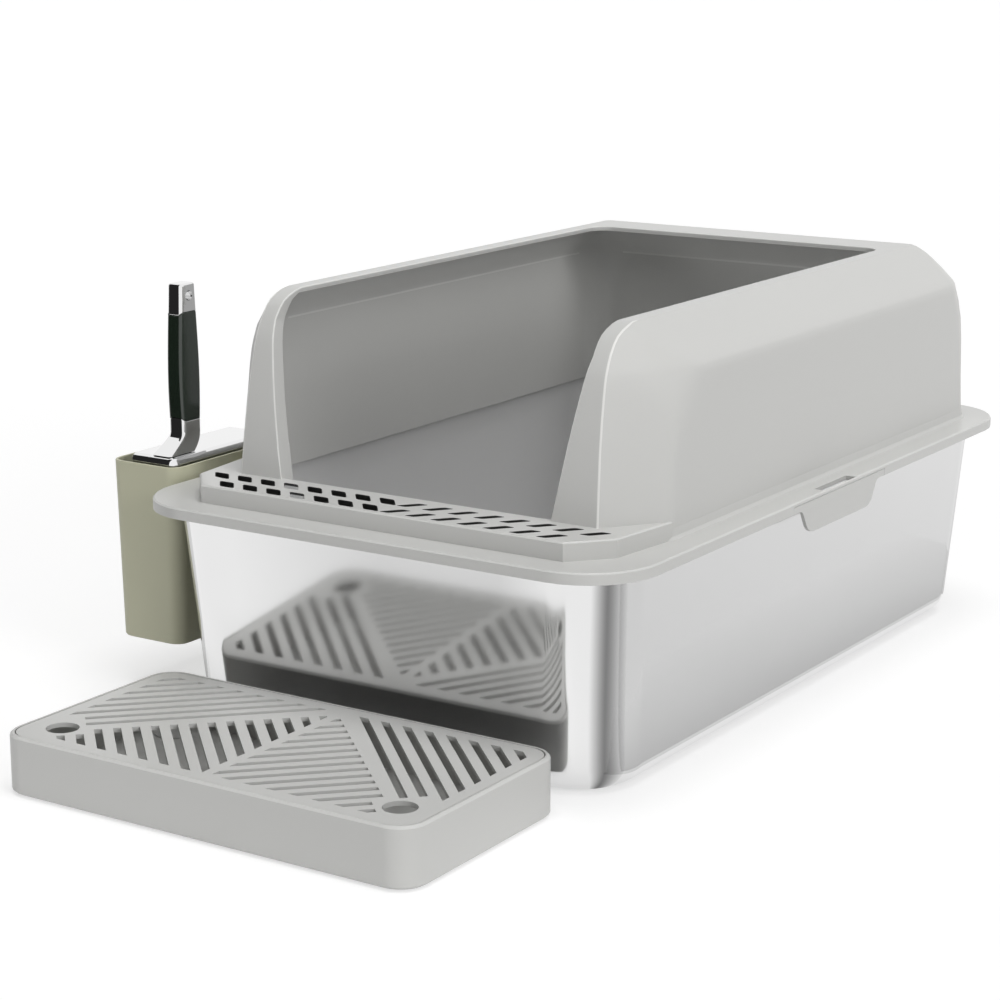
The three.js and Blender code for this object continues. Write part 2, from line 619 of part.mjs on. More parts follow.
// Scoop holder: open-top box with a hook that drops through the flange
function holderRing(height, inset) {
  const drop = (HOLDER_TOP - height) / HOLDER_HEIGHT * HOLDER_DRAFT;
  const halfX = HOLDER_WIDTH / 2 - drop - inset;
  const halfY = HOLDER_LENGTH / 2 - drop - inset;
  const radius = HOLDER_CORNER - inset;
  return [roundedRectangle(halfX, halfY, radius, BEND_STEPS, HOLDER_CENTRE_X, HOLDER_CENTRE_Y), height];
}

function makeHolder() {
  const shell = solid(loft([
    holderRing(HOLDER_BOTTOM, HOLDER_WALL / 2),
    holderRing(HOLDER_BOTTOM + HOLDER_WALL / 2, 0),
    holderRing(HOLDER_TOP, 0),
    holderRing(HOLDER_TOP, HOLDER_WALL),
    holderRing(HOLDER_BOTTOM + HOLDER_WALL, HOLDER_WALL),
  ]));
  const armBottom = FLANGE_TOP + SEAT_GAP;
  const front = HOOK_Y - HOOK_WIDTH / 2;
  const back = HOOK_Y + HOOK_WIDTH / 2;
  const armTop = armBottom + HOOK_THICKNESS;
  const arm = block(HOLDER_RIGHT - HOLDER_WALL / 2, HOOK_TIP, front, back, armBottom, armTop);
  const lip = block(HOOK_TIP - HOOK_THICKNESS, HOOK_TIP, front, back, armBottom - HOOK_DROP, armTop);
  return geometryOf(shell.add(arm.add(lip)));
}

// Scoop: folded sheet that stands lip down in the holder, its back plate level with the mouth
const SCOOP_FOOT = HOLDER_BOTTOM + HOLDER_WALL + SEAT_GAP;
const SCOOP_TOP = SCOOP_FOOT + SCOOP_LENGTH;
const SCOOP_RIGHT = HOLDER_CENTRE_X + SCOOP_DEPTH / 2 + SCOOP_SIDE_SHIFT;
const HANDLE_X = HOLDER_CENTRE_X + HANDLE_SIDE_SHIFT;
const HANDLE_Y = HOLDER_CENTRE_Y - HANDLE_FRONT_SHIFT;

// Share of the lip's depth that rounds the scoop's folds, and shares of the quarter turn by which
// its crown rounds over
const SCOOP_FOLD_SHARE = 0.7;
const SCOOP_CROWN_SHARES = [0, 0.25, 0.5, 0.75, 1];

// Cross-section of the scoop at one share of its length, open towards the holder's outer wall
function scoopSection(share, inset) {
  const depth = THREE.MathUtils.lerp(SCOOP_LIP_DEPTH, SCOOP_DEPTH, share) - inset;
  const halfWidth = THREE.MathUtils.lerp(SCOOP_LIP_WIDTH, SCOOP_WIDTH, share) / 2 - inset;
  const right = SCOOP_RIGHT - inset;
  const left = SCOOP_RIGHT - depth - inset - (inset ? OVERRUN : 0);
  const round = Math.min(SCOOP_BACK_BEND, SCOOP_LIP_DEPTH * SCOOP_FOLD_SHARE) - inset;
  const y = HOLDER_CENTRE_Y;
  return outline([
    [left, y - halfWidth],
    [right, y - halfWidth, round, BEND_STEPS],
    [right, y + halfWidth, round, BEND_STEPS],
    [left, y + halfWidth],
  ]);
}

// Ring of the crown, whose edge rounds over from upright to level
function crownRing(share) {
  const turn = share * Math.PI / 2;
  const inset = SCOOP_CROWN * (1 - Math.cos(turn));
  const left = SCOOP_RIGHT - SCOOP_DEPTH;
  const right = SCOOP_RIGHT - inset;
  const halfWidth = SCOOP_WIDTH / 2 - inset;
  const round = SCOOP_BACK_BEND - inset;
  return [outline([
    [left, HOLDER_CENTRE_Y - halfWidth],
    [right, HOLDER_CENTRE_Y - halfWidth, round, BEND_STEPS],
    [right, HOLDER_CENTRE_Y + halfWidth, round, BEND_STEPS],
    [left, HOLDER_CENTRE_Y + halfWidth],
  ]), SCOOP_TOP - SCOOP_CROWN + SCOOP_CROWN * Math.sin(turn)];
}

function makeScoopBlade() {
  const bendStart = 1 - SCOOP_BACK_BEND / SCOOP_LENGTH;
  const outer = solid(loft([
    [scoopSection(0, 0), SCOOP_FOOT],
    [scoopSection(bendStart, 0), SCOOP_TOP - SCOOP_BACK_BEND],
    ...SCOOP_CROWN_SHARES.map(crownRing),
  ]));
  const innerTop = SCOOP_TOP - SCOOP_BACK_BEND - SCOOP_SHEET;
  const inner = solid(loft([
    [scoopSection(0, SCOOP_SHEET), SCOOP_FOOT - OVERRUN],
    [scoopSection(0, SCOOP_SHEET), SCOOP_FOOT],
    [scoopSection(bendStart, SCOOP_SHEET), innerTop],
    [scoopSection(bendStart, SCOOP_SHEET + SCOOP_BACK_BEND / 2), SCOOP_TOP - SCOOP_SHEET - SCOOP_SHEET / 2],
  ]));
  let blade = outer.subtract(inner);
  const slotPitch = (SCOOP_LIP_WIDTH - SCOOP_BACK_BEND * 2) / SCOOP_SLOT_COUNT;
  for (let slot = 0; slot < SCOOP_SLOT_COUNT; slot += 1) {
    const y = HOLDER_CENTRE_Y + (slot - (SCOOP_SLOT_COUNT - 1) / 2) * slotPitch;
    const bottom = SCOOP_FOOT + SCOOP_SLOT_FOOT;
    blade = blade.subtract(block(SCOOP_RIGHT - SCOOP_SHEET * 2, SCOOP_RIGHT + OVERRUN,
      y - SCOOP_SLOT_WIDTH / 2, y + SCOOP_SLOT_WIDTH / 2, bottom, bottom + SCOOP_SLOT_LENGTH));
  }
  return geometryOf(blade);
}

// Handle sections: a flat rounded bar that swells at mid grip
const HANDLE_BASE = SCOOP_TOP + SEAT_GAP;
const HANDLE_TOP = HANDLE_BASE + HANDLE_HEIGHT;
const GRIP_BOTTOM = HANDLE_BASE + HANDLE_NECK;
const GRIP_TOP = HANDLE_TOP - HANDLE_CAP;
const TANG_TOP = GRIP_TOP - HANDLE_CAP;

// How the handle's width swells along its length
const SWELL_POWER_SHARE = 1.3;
const GRIP_STEPS = 10;
const CAP_STEPS = 3;

function handleRing(height) {
  const share = THREE.MathUtils.clamp((height - GRIP_BOTTOM) / (HANDLE_TOP - GRIP_BOTTOM), 0, 1);
  const swell = 1 + (HANDLE_FLARE - 1) * Math.sin(Math.PI * (1 - share) ** SWELL_POWER_SHARE);
  const width = THREE.MathUtils.lerp(HANDLE_NECK_WIDTH, HANDLE_TOP_WIDTH, share) * swell;
  const thick = THREE.MathUtils.lerp(HANDLE_THICKNESS, HANDLE_TOP_THICKNESS, share);
  return [roundedRectangle(thick / 2, Math.min(width, HANDLE_WIDTH) / 2, HANDLE_CORNER, CAP_STEPS,
    HANDLE_X, HANDLE_Y), height];
}

function handleStretch(bottom, top, steps) {
  const rings = [];
  for (let step = 0; step <= steps; step += 1) rings.push(handleRing(bottom + (top - bottom) * step / steps));
  return rings;
}

function tang(grow) {
  const points = roundedRectangle(TANG_THICKNESS / 2 + grow, TANG_WIDTH / 2 + grow, TANG_ROUND, FINE_STEPS,
    HANDLE_X, HANDLE_Y);
  return prism(points, GRIP_BOTTOM - SHARP, TANG_TOP + grow);
}

// The neck comes down as a bar and sweeps forward into a thin toe on the scoop's back plate.
// Shares of the foot's height, with shares of the toe's reach and of how far the heel tucks in.
const NECK_SWEEP_SHARES = [
  { rise: 0, toe: 1, heel: 1, thick: 1.25 },
  { rise: 0.15, toe: 0.93, heel: 0.72, thick: 1.22 },
  { rise: 0.34, toe: 0.6, heel: 0.42, thick: 1.12 },
  { rise: 0.6, toe: 0.25, heel: 0.16, thick: 1.04 },
  { rise: 1, toe: 0, heel: 0, thick: 1 },
];

function neckRing({ rise, toe, heel, thick }) {
  const front = -HANDLE_NECK_WIDTH / 2 - HANDLE_FOOT_REACH * toe;
  const back = HANDLE_NECK_WIDTH / 2 - HANDLE_FOOT_REACH / 2 * heel;
  const halfY = (back - front) / 2;
  const height = HANDLE_BASE + HANDLE_FOOT_HEIGHT * rise;
  return [roundedRectangle(HANDLE_THICKNESS / 2 * thick, halfY, HANDLE_CORNER, CAP_STEPS,
    HANDLE_X, HANDLE_Y + (front + back) / 2), height];
}

function makeNeck() {
  const neck = solid(loft([...NECK_SWEEP_SHARES.map(neckRing), handleRing(GRIP_BOTTOM)]));
  return geometryOf(neck.add(tang(0)));
}

function makeGrip() {
  const body = solid(loft(handleStretch(GRIP_BOTTOM + SEAT_GAP, GRIP_TOP - SEAT_GAP, GRIP_STEPS)));
  const bore = tang(SEAT_GAP);
  return geometryOf(body.subtract(bore));
}

function makeCap() {
  const shoulder = handleRing(HANDLE_TOP - HANDLE_TOP_ROUND);
  const top = roundedRectangle(HANDLE_TOP_THICKNESS / 2 - HANDLE_TOP_ROUND,
    HANDLE_TOP_WIDTH / 2 - HANDLE_TOP_ROUND, HANDLE_CORNER - HANDLE_TOP_ROUND, CAP_STEPS,
    HANDLE_X, HANDLE_Y);
  const rings = handleStretch(GRIP_TOP, HANDLE_TOP - HANDLE_TOP_ROUND * 2, CAP_STEPS);
  const body = solid(loft([...rings, shoulder, [top, HANDLE_TOP]]));
  const radius = HANG_HOLE / 2;
  const hole = new THREE.CylinderGeometry(radius, radius, HANDLE_THICKNESS + OVERRUN, ROUND_STEPS / 2);
  hole.rotateZ(Math.PI / 2);
  hole.translate(HANDLE_X, HANDLE_Y, HANDLE_TOP - HANG_HOLE_DROP);
  return geometryOf(body.subtract(solid(hole)));
}

// Step: tray with a floor, a grate on its ledge, and rubber feet in pockets under the floor
const STEP_CENTRE_Y = -PAN_LENGTH / 2 + PAN_DRAFT_END - STEP_PAN_GAP - STEP_DEPTH / 2;
const STEP_BOTTOM = FOOT_STAND;
const STEP_HALF_X = STEP_WIDTH / 2;
const STEP_HALF_Y = STEP_DEPTH / 2;
const GRATE_TOP = STEP_HEIGHT - GRATE_RECESS;
const GRATE_BOTTOM = GRATE_TOP - GRATE_THICKNESS;
const GRATE_HALF_X = STEP_HALF_X - STEP_WALL - GRATE_GROOVE;
const GRATE_HALF_Y = STEP_HALF_Y - STEP_WALL - GRATE_GROOVE;

function stepRing(height, inset) {
  return [roundedRectangle(STEP_HALF_X - inset, STEP_HALF_Y - inset, STEP_CORNER - inset, ARC_STEPS,
    STEP_SIDE_SHIFT, STEP_CENTRE_Y), height];
}

function footPlaces() {
  const x = STEP_HALF_X - FOOT_INSET;
  const y = STEP_HALF_Y - FOOT_INSET;
  return [[x, -y], [x, y], [-x, y], [-x, -y]].map(([px, py]) => [STEP_SIDE_SHIFT + px, STEP_CENTRE_Y + py]);
}

function disc(radius, x, y, bottom, top) {
  const geometry = new THREE.CylinderGeometry(radius, radius, top - bottom, ROUND_STEPS);
  geometry.rotateX(Math.PI / 2);
  geometry.translate(x, y, (bottom + top) / 2);
  return geometry;
}

function makeTray() {
  const ledgeTop = GRATE_BOTTOM - SEAT_GAP;
  const shell = solid(loft([
    stepRing(STEP_BOTTOM, STEP_EDGE_ROUND),
    stepRing(STEP_BOTTOM + STEP_EDGE_ROUND, 0),
    stepRing(STEP_HEIGHT - STEP_EDGE_ROUND, 0),
    stepRing(STEP_HEIGHT, STEP_EDGE_ROUND),
    stepRing(STEP_HEIGHT, STEP_WALL),
    stepRing(ledgeTop, STEP_WALL),
    stepRing(ledgeTop, STEP_WALL + STEP_LEDGE),
    stepRing(ledgeTop - STEP_LEDGE_HEIGHT, STEP_WALL),
    stepRing(STEP_BOTTOM + STEP_FLOOR, STEP_WALL),
  ]));
  let tray = shell;
  const floorTop = STEP_BOTTOM + STEP_FLOOR;
  footPlaces().forEach(([x, y]) => {
    const bossRadius = FOOT_DIAMETER / 2 + STEP_WALL;
    const boss = disc(bossRadius, x, y, floorTop - STEP_FLOOR / 2, floorTop + FOOT_HEIGHT / 2);
    const pocket = disc(FOOT_DIAMETER / 2 + SEAT_GAP, x, y, STEP_BOTTOM - OVERRUN, FOOT_HEIGHT + SEAT_GAP);
    tray = tray.add(solid(boss)).subtract(solid(pocket));
  });
  return geometryOf(tray);
}

// Keeps the part of a convex polygon on the side of a line that its normal points to.
function clipped(points, origin, normal) {
  const kept = [];
  points.forEach((point, index) => {
    const next = points[(index + 1) % points.length];
    const here = point.clone().sub(origin).dot(normal);
    const there = next.clone().sub(origin).dot(normal);
    if (here >= 0) kept.push(point);
    const crosses = (here > 0 && there < 0) || (here < 0 && there > 0);
    if (crosses) kept.push(point.clone().lerp(next, here / (here - there)));
  });
  return kept;
}

// Parallel slots inside one triangular zone. The slots run along `along`; those that would cut
// a finger hole's ring start beyond it.
function zoneSlots(zone, along, holes) {
  const across = new THREE.Vector2(-along.y, along.x);
  const spans = zone.map((point) => point.dot(across));
  const low = Math.min(...spans);
  const high = Math.max(...spans);
  const count = Math.floor((high - low - GRATE_SLOT) / GRATE_PITCH) + 1;
  const start = (low + high) / 2 - GRATE_PITCH * (count - 1) / 2;
  const ring = FINGER_HOLE / 2 + FINGER_HOLE_RING;
  const slots = [];
  for (let index = 0; index < count; index += 1) {
    const centre = across.clone().multiplyScalar(start + GRATE_PITCH * index);
    let slot = clipped(zone, centre.clone().addScaledVector(across, -GRATE_SLOT / 2), across);
    slot = clipped(slot, centre.clone().addScaledVector(across, GRATE_SLOT / 2), across.clone().negate());
    holes.forEach((hole) => {
      const offset = Math.abs(hole.dot(across) - centre.dot(across));
      if (offset > ring + GRATE_SLOT / 2 || slot.length < 3) return;
      const total = slot.reduce((sum, point) => sum.add(point), new THREE.Vector2());
      const middle = total.divideScalar(slot.length);
      const away = along.clone().multiplyScalar(middle.clone().sub(hole).dot(along) > 0 ? 1 : -1);
      slot = clipped(slot, hole.clone().addScaledVector(away, ring), away);
    });
    const area = slot.length < 3 ? 0 : Math.abs(THREE.ShapeUtils.area(slot));
    if (area > GRATE_SLOT * GRATE_SLOT / 2) slots.push(slot);
  }
  return slots;
}

function shrunkTriangle(corners, margins) {
  let shape = corners;
  corners.forEach((corner, index) => {
    const next = corners[(index + 1) % corners.length];
    const edge = next.clone().sub(corner).normalize();
    const inward = new THREE.Vector2(-edge.y, edge.x);
    shape = clipped(shape, corner.clone().addScaledVector(inward, margins[index]), inward);
  });
  return shape;
}

function makeGrate() {
  const cx = STEP_SIDE_SHIFT;
  const left = cx - GRATE_HALF_X + GRATE_MARGIN;
  const right = cx + GRATE_HALF_X - GRATE_MARGIN;
  const front = STEP_CENTRE_Y - GRATE_HALF_Y + GRATE_MARGIN;
  const back = STEP_CENTRE_Y + GRATE_HALF_Y - GRATE_MARGIN;
  const at = (x, y) => new THREE.Vector2(x, y);
  const uphill = at(1, 1).normalize();
  const downhill = at(1, -1).normalize();
  const holeX = GRATE_HALF_X - FINGER_HOLE_INSET;
  const holeY = STEP_CENTRE_Y - GRATE_HALF_Y + FINGER_HOLE_FRONT_INSET;
  const holes = [at(cx - holeX, holeY), at(cx + holeX, holeY)];
  const bar = GRATE_BAR / 2;
  const zones = [
    [[at(left, back), at(left, front), at(cx, back)], [0, bar, 0], uphill],
    [[at(left, front), at(cx, front), at(cx, back)], [0, bar, bar], downhill],
    [[at(cx, front), at(right, front), at(cx, back)], [0, bar, bar], uphill],
    [[at(right, front), at(right, back), at(cx, back)], [0, 0, bar], downhill],
  ];
  const corner = STEP_CORNER - STEP_WALL;
  const plate = roundedRectangle(GRATE_HALF_X, GRATE_HALF_Y, corner, ARC_STEPS, cx, STEP_CENTRE_Y);
  let grate = prism(plate, GRATE_BOTTOM, GRATE_TOP);
  zones.forEach(([corners, margins, along]) => {
    zoneSlots(shrunkTriangle(corners, margins), along, holes).forEach((slot) => {
      const cut = THREE.ShapeUtils.isClockWise(slot) ? slot.reverse() : slot;
      grate = grate.subtract(prism(cut, GRATE_BOTTOM - OVERRUN, GRATE_TOP + OVERRUN));
    });
  });
  holes.forEach(({ x, y }) => {
    grate = grate.subtract(solid(disc(FINGER_HOLE / 2, x, y, GRATE_BOTTOM - OVERRUN, GRATE_TOP + OVERRUN)));
  });
  return geometryOf(grate);
}

addPart('stainless_pan', 'steel', geometryOf(solid(makePan())));
addPart('guard', 'guard', makeGuard());
addPart('latch_right', 'guard', makeLatch(1));
addPart('latch_left', 'guard', makeLatch(-1));
addPart('scoop_holder', 'sage', makeHolder());
addPart('scoop_blade', 'chrome', makeScoopBlade());
addPart('scoop_neck', 'chrome', makeNeck());
addPart('scoop_grip', 'grip', makeGrip());
addPart('scoop_end_cap', 'chrome', makeCap());
addPart('step_tray', 'step', makeTray());
addPart('step_grate', 'step', makeGrate());
footPlaces().forEach(([x, y], index) => {
  addPart(`step_foot_${index + 1}`, 'rubber', disc(FOOT_DIAMETER / 2, x, y, 0, FOOT_HEIGHT));
});

export default litterBox;
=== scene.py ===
import math

import bmesh
import bpy
from mathutils import Matrix, Vector


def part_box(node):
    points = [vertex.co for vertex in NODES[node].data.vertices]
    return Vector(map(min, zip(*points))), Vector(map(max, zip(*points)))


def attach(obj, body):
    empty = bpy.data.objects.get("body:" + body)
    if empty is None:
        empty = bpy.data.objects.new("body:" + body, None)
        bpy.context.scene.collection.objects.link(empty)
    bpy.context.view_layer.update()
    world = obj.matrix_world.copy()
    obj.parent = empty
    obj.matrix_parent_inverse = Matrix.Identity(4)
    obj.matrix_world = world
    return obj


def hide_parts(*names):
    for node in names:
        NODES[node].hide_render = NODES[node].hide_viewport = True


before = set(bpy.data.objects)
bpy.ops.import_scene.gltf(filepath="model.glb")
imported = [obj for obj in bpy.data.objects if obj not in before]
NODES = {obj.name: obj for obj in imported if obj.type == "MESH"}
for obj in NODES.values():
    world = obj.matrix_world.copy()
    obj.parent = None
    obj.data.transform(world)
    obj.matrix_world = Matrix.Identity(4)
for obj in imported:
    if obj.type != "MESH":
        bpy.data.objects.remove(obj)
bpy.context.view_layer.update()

bl_info = {
    "name": "Litter box set",
    "version": (1, 0, 0),
    "blender": (4, 5, 0),
    "location": "View3D > Sidebar > Litter box",
    "description": "Builds the looks of a steel litter box set: pan, guard, step and scoop",
    "category": "Object",
}

PAN_LOW, PAN_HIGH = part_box("stainless_pan")
NECK_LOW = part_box("scoop_neck")[0]
GRIP_LOW, GRIP_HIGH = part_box("scoop_grip")
CAP_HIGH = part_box("scoop_end_cap")[1]

# Lengths are in metres and angles in degrees.

MERGE = 1e-6
SHARP = 0.0002
OVERRUN = 0.005
FLAT_LIMIT = 0.3
SMOOTH_LIMIT = 32.0
EDGE_LIMIT = 38.0
EDGE_STEPS = 2
WHITE = (1.0, 1.0, 1.0, 1.0)


def length(name, default, description):
    """Length property in metres."""
    return bpy.props.FloatProperty(name=name, description=description, default=default, min=0.0,
                                   unit="LENGTH", subtype="DISTANCE", precision=5)


def share(name, default, description):
    """Property between nothing and all."""
    return bpy.props.FloatProperty(name=name, description=description, default=default, min=0.0, max=1.0,
                                   subtype="FACTOR")


def tint(name, default, description):
    """Colour property."""
    return bpy.props.FloatVectorProperty(name=name, description=description, default=default, size=3,
                                         min=0.0, max=1.0, subtype="COLOR")


def strength(name, default, description):
    """Strength of a light."""
    return bpy.props.FloatProperty(name=name, description=description, default=default, min=0.0)


class PanSettings(bpy.types.PropertyGroup):
    top_corner: length("Top corner", 0.0434, "Corner radius of the pan at its rim")
    foot_corner: length("Foot corner", 0.0465, "Corner radius of the pan at its foot")
    foot_bend: length("Foot bend", 0.0165, "Radius between the pan's floor and its walls")
    sheet: length("Sheet", 0.001, "Thickness of the steel")
    rim_width: length("Rim width", 0.008, "Width of the flat rim")
    side_draft: length("Side draft", 0.0095, "How far each long wall leans out")
    end_draft: length("End draft", 0.011, "How far each end wall leans out")
    steel: tint("Steel", (0.80, 0.80, 0.80), "Colour of the satin steel")
    roughness: share("Roughness", 0.10, "Blur of the steel's reflections")
    inner_blur: share("Inner blur", 0.3, "How much more the steel blurs inside")
    inner_satin: share("Inner satin", 0.78, "How much of the steel inside scatters light")


class GuardSettings(bpy.types.PropertyGroup):
    edge: length("Edge", 0.0005, "Rounding of the moulded edges")
    wall_edge: length("Wall edge", 0.0008, "Rounding of the wall's and pillars' edges")
    # Painted highlight: the bevelled edges of the wall, the pillars and the inner crease are lightened in
    # colour, standing in for the light they catch.
    shine: share("Edge shine", 0.32, "How much lighter the smooth edges are than the guard")
    hole_stretch: length("Hole stretch", 0.0012, "How much further each grille hole reaches front and back")
    hole_narrowing: length("Hole narrowing", 0.0021, "How far each side of the right-hand holes moves in")
    # Painted shade: the faces lining the grille's holes are darkened in colour, standing in for the shadow
    # inside them.
    hole_shade: share("Hole shade", 0.93, "How much darker the grille's holes are than the guard")
    # The collars under the grille holes are painted shade: near-black sleeves that stand in for the shadow
    # under the grille.
    collar: length("Collar", 0.004, "Length of the short collar under each grille hole")
    collar_wall: length("Collar wall", 0.0006, "Wall of the collar under each grille hole")
    collar_shade_colour: tint("Collar shade colour", (0.022, 0.022, 0.021), "Colour of the collars")
    tongue_edge: length("Tongue edge", 0.0002, "Rounding of the latch tongues' edges")
    colour: tint("Colour", (0.58, 0.58, 0.565), "Colour of the guard's plastic")
    roughness: share("Roughness", 0.33, "Roughness of the guard's plastic")


class HolderSettings(bpy.types.PropertyGroup):
    edge: length("Edge", 0.0005, "Rounding of the holder's edges")
    colour: tint("Colour", (0.525, 0.522, 0.385), "Colour of the holder's plastic")
    roughness: share("Roughness", 0.45, "Roughness of the holder's plastic")


class ScoopSettings(bpy.types.PropertyGroup):
    edge: length("Edge", 0.003, "Rounding of the handle's long edges")
    blade_edge: length("Blade edge", 0.0003, "Rounding of the blade's edges")
    neck_width: length("Neck width", 0.019, "Width of the handle at its neck, front to back")
    neck_thickness: length("Neck thickness", 0.014, "Thickness of the handle at its neck")
    cap_width: length("Cap width", 0.0155, "Width of the handle at its top")
    cap_thickness: length("Cap thickness", 0.0128, "Thickness of the handle at its top")
    swell: share("Swell", 0.18, "How much the grip widens at its middle")
    grip_wave: length("Grip wave", 0.0017, "How far the grip's ends reach along its broad faces")
    wave_run: length("Wave run", 0.011, "How far from a seam its wave dies away")
    seam: length("Seam", 0.0005, "Rounding of the grip and the metal where they meet")
    foot_reach: length("Foot reach", 0.017, "How far the neck's toe reaches forward")
    foot_height: length("Foot height", 0.013, "Height over which the neck sweeps forward")
    cap_round: length("Cap round", 0.0018, "Rounding of the cap's top edge")
    hang_hole: length("Hanging hole", 0.0035, "Radius of the hole in the cap")
    hang_drop: length("Hole drop", 0.0084, "How far the hole's centre lies under the top")
    chrome: tint("Metal", (0.83, 0.83, 0.83), "Colour of the polished metal")
    chrome_roughness: share("Metal roughness", 0.05, "Blur of the polished metal's reflections")
    grip: tint("Grip", (0.011, 0.019, 0.012), "Colour of the grip")
    grip_roughness: share("Grip roughness", 0.16, "Roughness of the grip")
    grip_gloss: share("Grip gloss", 0.9, "Strength of the grip's reflections")


class StepSettings(bpy.types.PropertyGroup):
    edge: length("Edge", 0.0006, "Rounding of the tray's edges")
    slot_edge: length("Slot edge", 0.0004, "Rounding of the grate's slots")
    colour: tint("Colour", (0.575, 0.575, 0.56), "Colour of the step's plastic")
    roughness: share("Roughness", 0.42, "Roughness of the step's plastic")
    rubber: tint("Feet", (0.06, 0.06, 0.06), "Colour of the rubber feet")


class StageSettings(bpy.types.PropertyGroup):
    azimuth: bpy.props.FloatProperty(name="Azimuth", description="Turn of the camera round the set",
                                     default=math.radians(33.101), subtype="ANGLE")
    elevation: bpy.props.FloatProperty(name="Elevation", description="Height angle of the camera",
                                       default=math.radians(13.481), subtype="ANGLE")
    lens: bpy.props.FloatProperty(name="Lens", description="Focal length of the camera in millimetres",
                                  default=90.919)
    floor: share("Floor", 0.86, "Brightness of the floor where it lights the set")
    seen_floor: share("Seen floor", 0.42, "Brightness of the floor where it is seen, beside its glow")
    floor_glow: share("Floor glow", 0.65, "Glow that turns the seen floor white")
    key: strength("Key", 0.45, "Strength of the high lamp on the right")
    side: strength("Side", 0.9, "Strength of the low lamp on the right")
    fill: strength("Fill", 0.3, "Strength of the lamp beside the camera")
    front: strength("Front", 0.48, "Strength of the low lamp in front")
    top: strength("Top", 1.83, "Strength of the overhead lamp")
    ambient: strength("Ambient", 0.02, "Strength of the surrounding light")


def settings_of(kind, name, description):
    """The settings of one piece or group."""
    return bpy.props.PointerProperty(type=kind, name=name, description=description)


class LitterBoxSettings(bpy.types.PropertyGroup):
    pan: settings_of(PanSettings, "Pan", "Sizes and finish of the pan")
    guard: settings_of(GuardSettings, "Guard", "Sizes and finish of the guard")
    holder: settings_of(HolderSettings, "Holder", "Edges and finish of the holder")
    scoop: settings_of(ScoopSettings, "Scoop", "Sizes and finish of the scoop")
    step: settings_of(StepSettings, "Step", "Edges and finish of the step")
    stage: settings_of(StageSettings, "Stage", "Camera and light")


# Outlines and skins

def corner_arc(before, corner, after, reach, steps):
    """Points of the arc that rounds one corner, reach being how far it starts from the corner."""
    back = (before - corner).normalized()
    ahead = (after - corner).normalized()
    half = math.acos(max(-1.0, min(1.0, back.dot(ahead)))) / 2
    centre = corner + (back + ahead).normalized() * (reach / math.cos(half))
    start = corner + back * reach - centre
    turn = -1 if back.cross(ahead) > 0 else 1
    sweep = turn * (math.pi - 2 * half)
    points = []
    for step in range(steps + 1):
        angle = sweep * step / steps
        turned = Vector((start.x * math.cos(angle) - start.y * math.sin(angle),
                         start.x * math.sin(angle) + start.y * math.cos(angle)))
        points.append(turned + centre)
    return points


def outline(corners):
    """Closed outline from corners, each given as x, y, how far off its arc starts, and the arc's steps."""
    places = [Vector(corner[:2]) for corner in corners]
    points = []
    for index, (*_place, reach, steps) in enumerate(corners):
        after = places[(index + 1) % len(places)]
        points += corner_arc(places[index - 1], places[index], after, reach, steps)
    return points


def rounded_rectangle(half_x, half_y, radius, steps, centre=(0.0, 0.0)):
    """Rounded rectangle, anticlockwise from above."""
    x, y = centre
    radius = max(radius, SHARP)
    return outline([(x - half_x, y - half_y, radius, steps), (x + half_x, y - half_y, radius, steps),
                    (x + half_x, y + half_y, radius, steps), (x - half_x, y + half_y, radius, steps)])


def first_ring(bm, points):
    """Closed ring of vertices and edges."""
    ring = [bm.verts.new(point) for point in points]
    for index, vertex in enumerate(ring):
        bm.edges.new((vertex, ring[(index + 1) % len(ring)]))
    return ring


def next_ring(bm, ring, points):
    """Extrudes a ring's edges and moves the new ring to its points."""
    edges = [bm.edges.get((vertex, ring[(index + 1) % len(ring)])) for index, vertex in enumerate(ring)]
    made = bmesh.ops.extrude_edge_only(bm, edges=edges)["geom"]
    places = {vertex: index for index, vertex in enumerate(ring)}
    fresh = [None] * len(ring)
    for vertex in made:
        if not isinstance(vertex, bmesh.types.BMVert):
            continue
        for edge in vertex.link_edges:
            other = edge.other_vert(vertex)
            if other in places:
                fresh[places[other]] = vertex
    for vertex, point in zip(fresh, points):
        vertex.co = point
    return fresh


def ring_wall(bm, rings):
    """Wall through rings of points (x, y, z); gives its first and its last ring of vertices."""
    first = first_ring(bm, rings[0])
    last = first
    for points in rings[1:]:
        last = next_ring(bm, last, points)
    return first, last


def skin(rings):
    """Closed body through rings of points, capped at its first and last ring."""
    bm = bmesh.new()
    first, last = ring_wall(bm, rings)
    bm.faces.new(first)
    bm.faces.new(last)
    bmesh.ops.recalc_face_normals(bm, faces=bm.faces)
    return bm


def at_height(points, height):
    """Flat outline lifted to one height."""
    return [(point[0], point[1], height) for point in points]


def quarter(steps, start, end):
    """Angles in radians along an arc given in degrees, in equal steps, ends included."""
    return [math.radians(start + (end - start) * step / steps) for step in range(steps + 1)]


def mark_edges(bm, limit):
    """Smooth faces with sharp edges where they meet at more than the limit, in degrees."""
    for face in bm.faces:
        face.smooth = True
    for edge in bm.edges:
        edge.smooth = edge.calc_face_angle(0.0) < math.radians(limit)


def fresh_object(name, data):
    """Puts an object in the scene, in place of the one that has its name."""
    old = bpy.data.objects.get(name)
    if old:
        bpy.data.objects.remove(old)
    made = bpy.data.objects.new(name, data)
    bpy.context.scene.collection.objects.link(made)
    return made


def mesh_object(name, bm):
    """Turns a bmesh into an object of the scene."""
    mesh = bpy.data.meshes.new(name)
    bm.to_mesh(mesh)
    bm.free()
    return fresh_object(name, mesh)


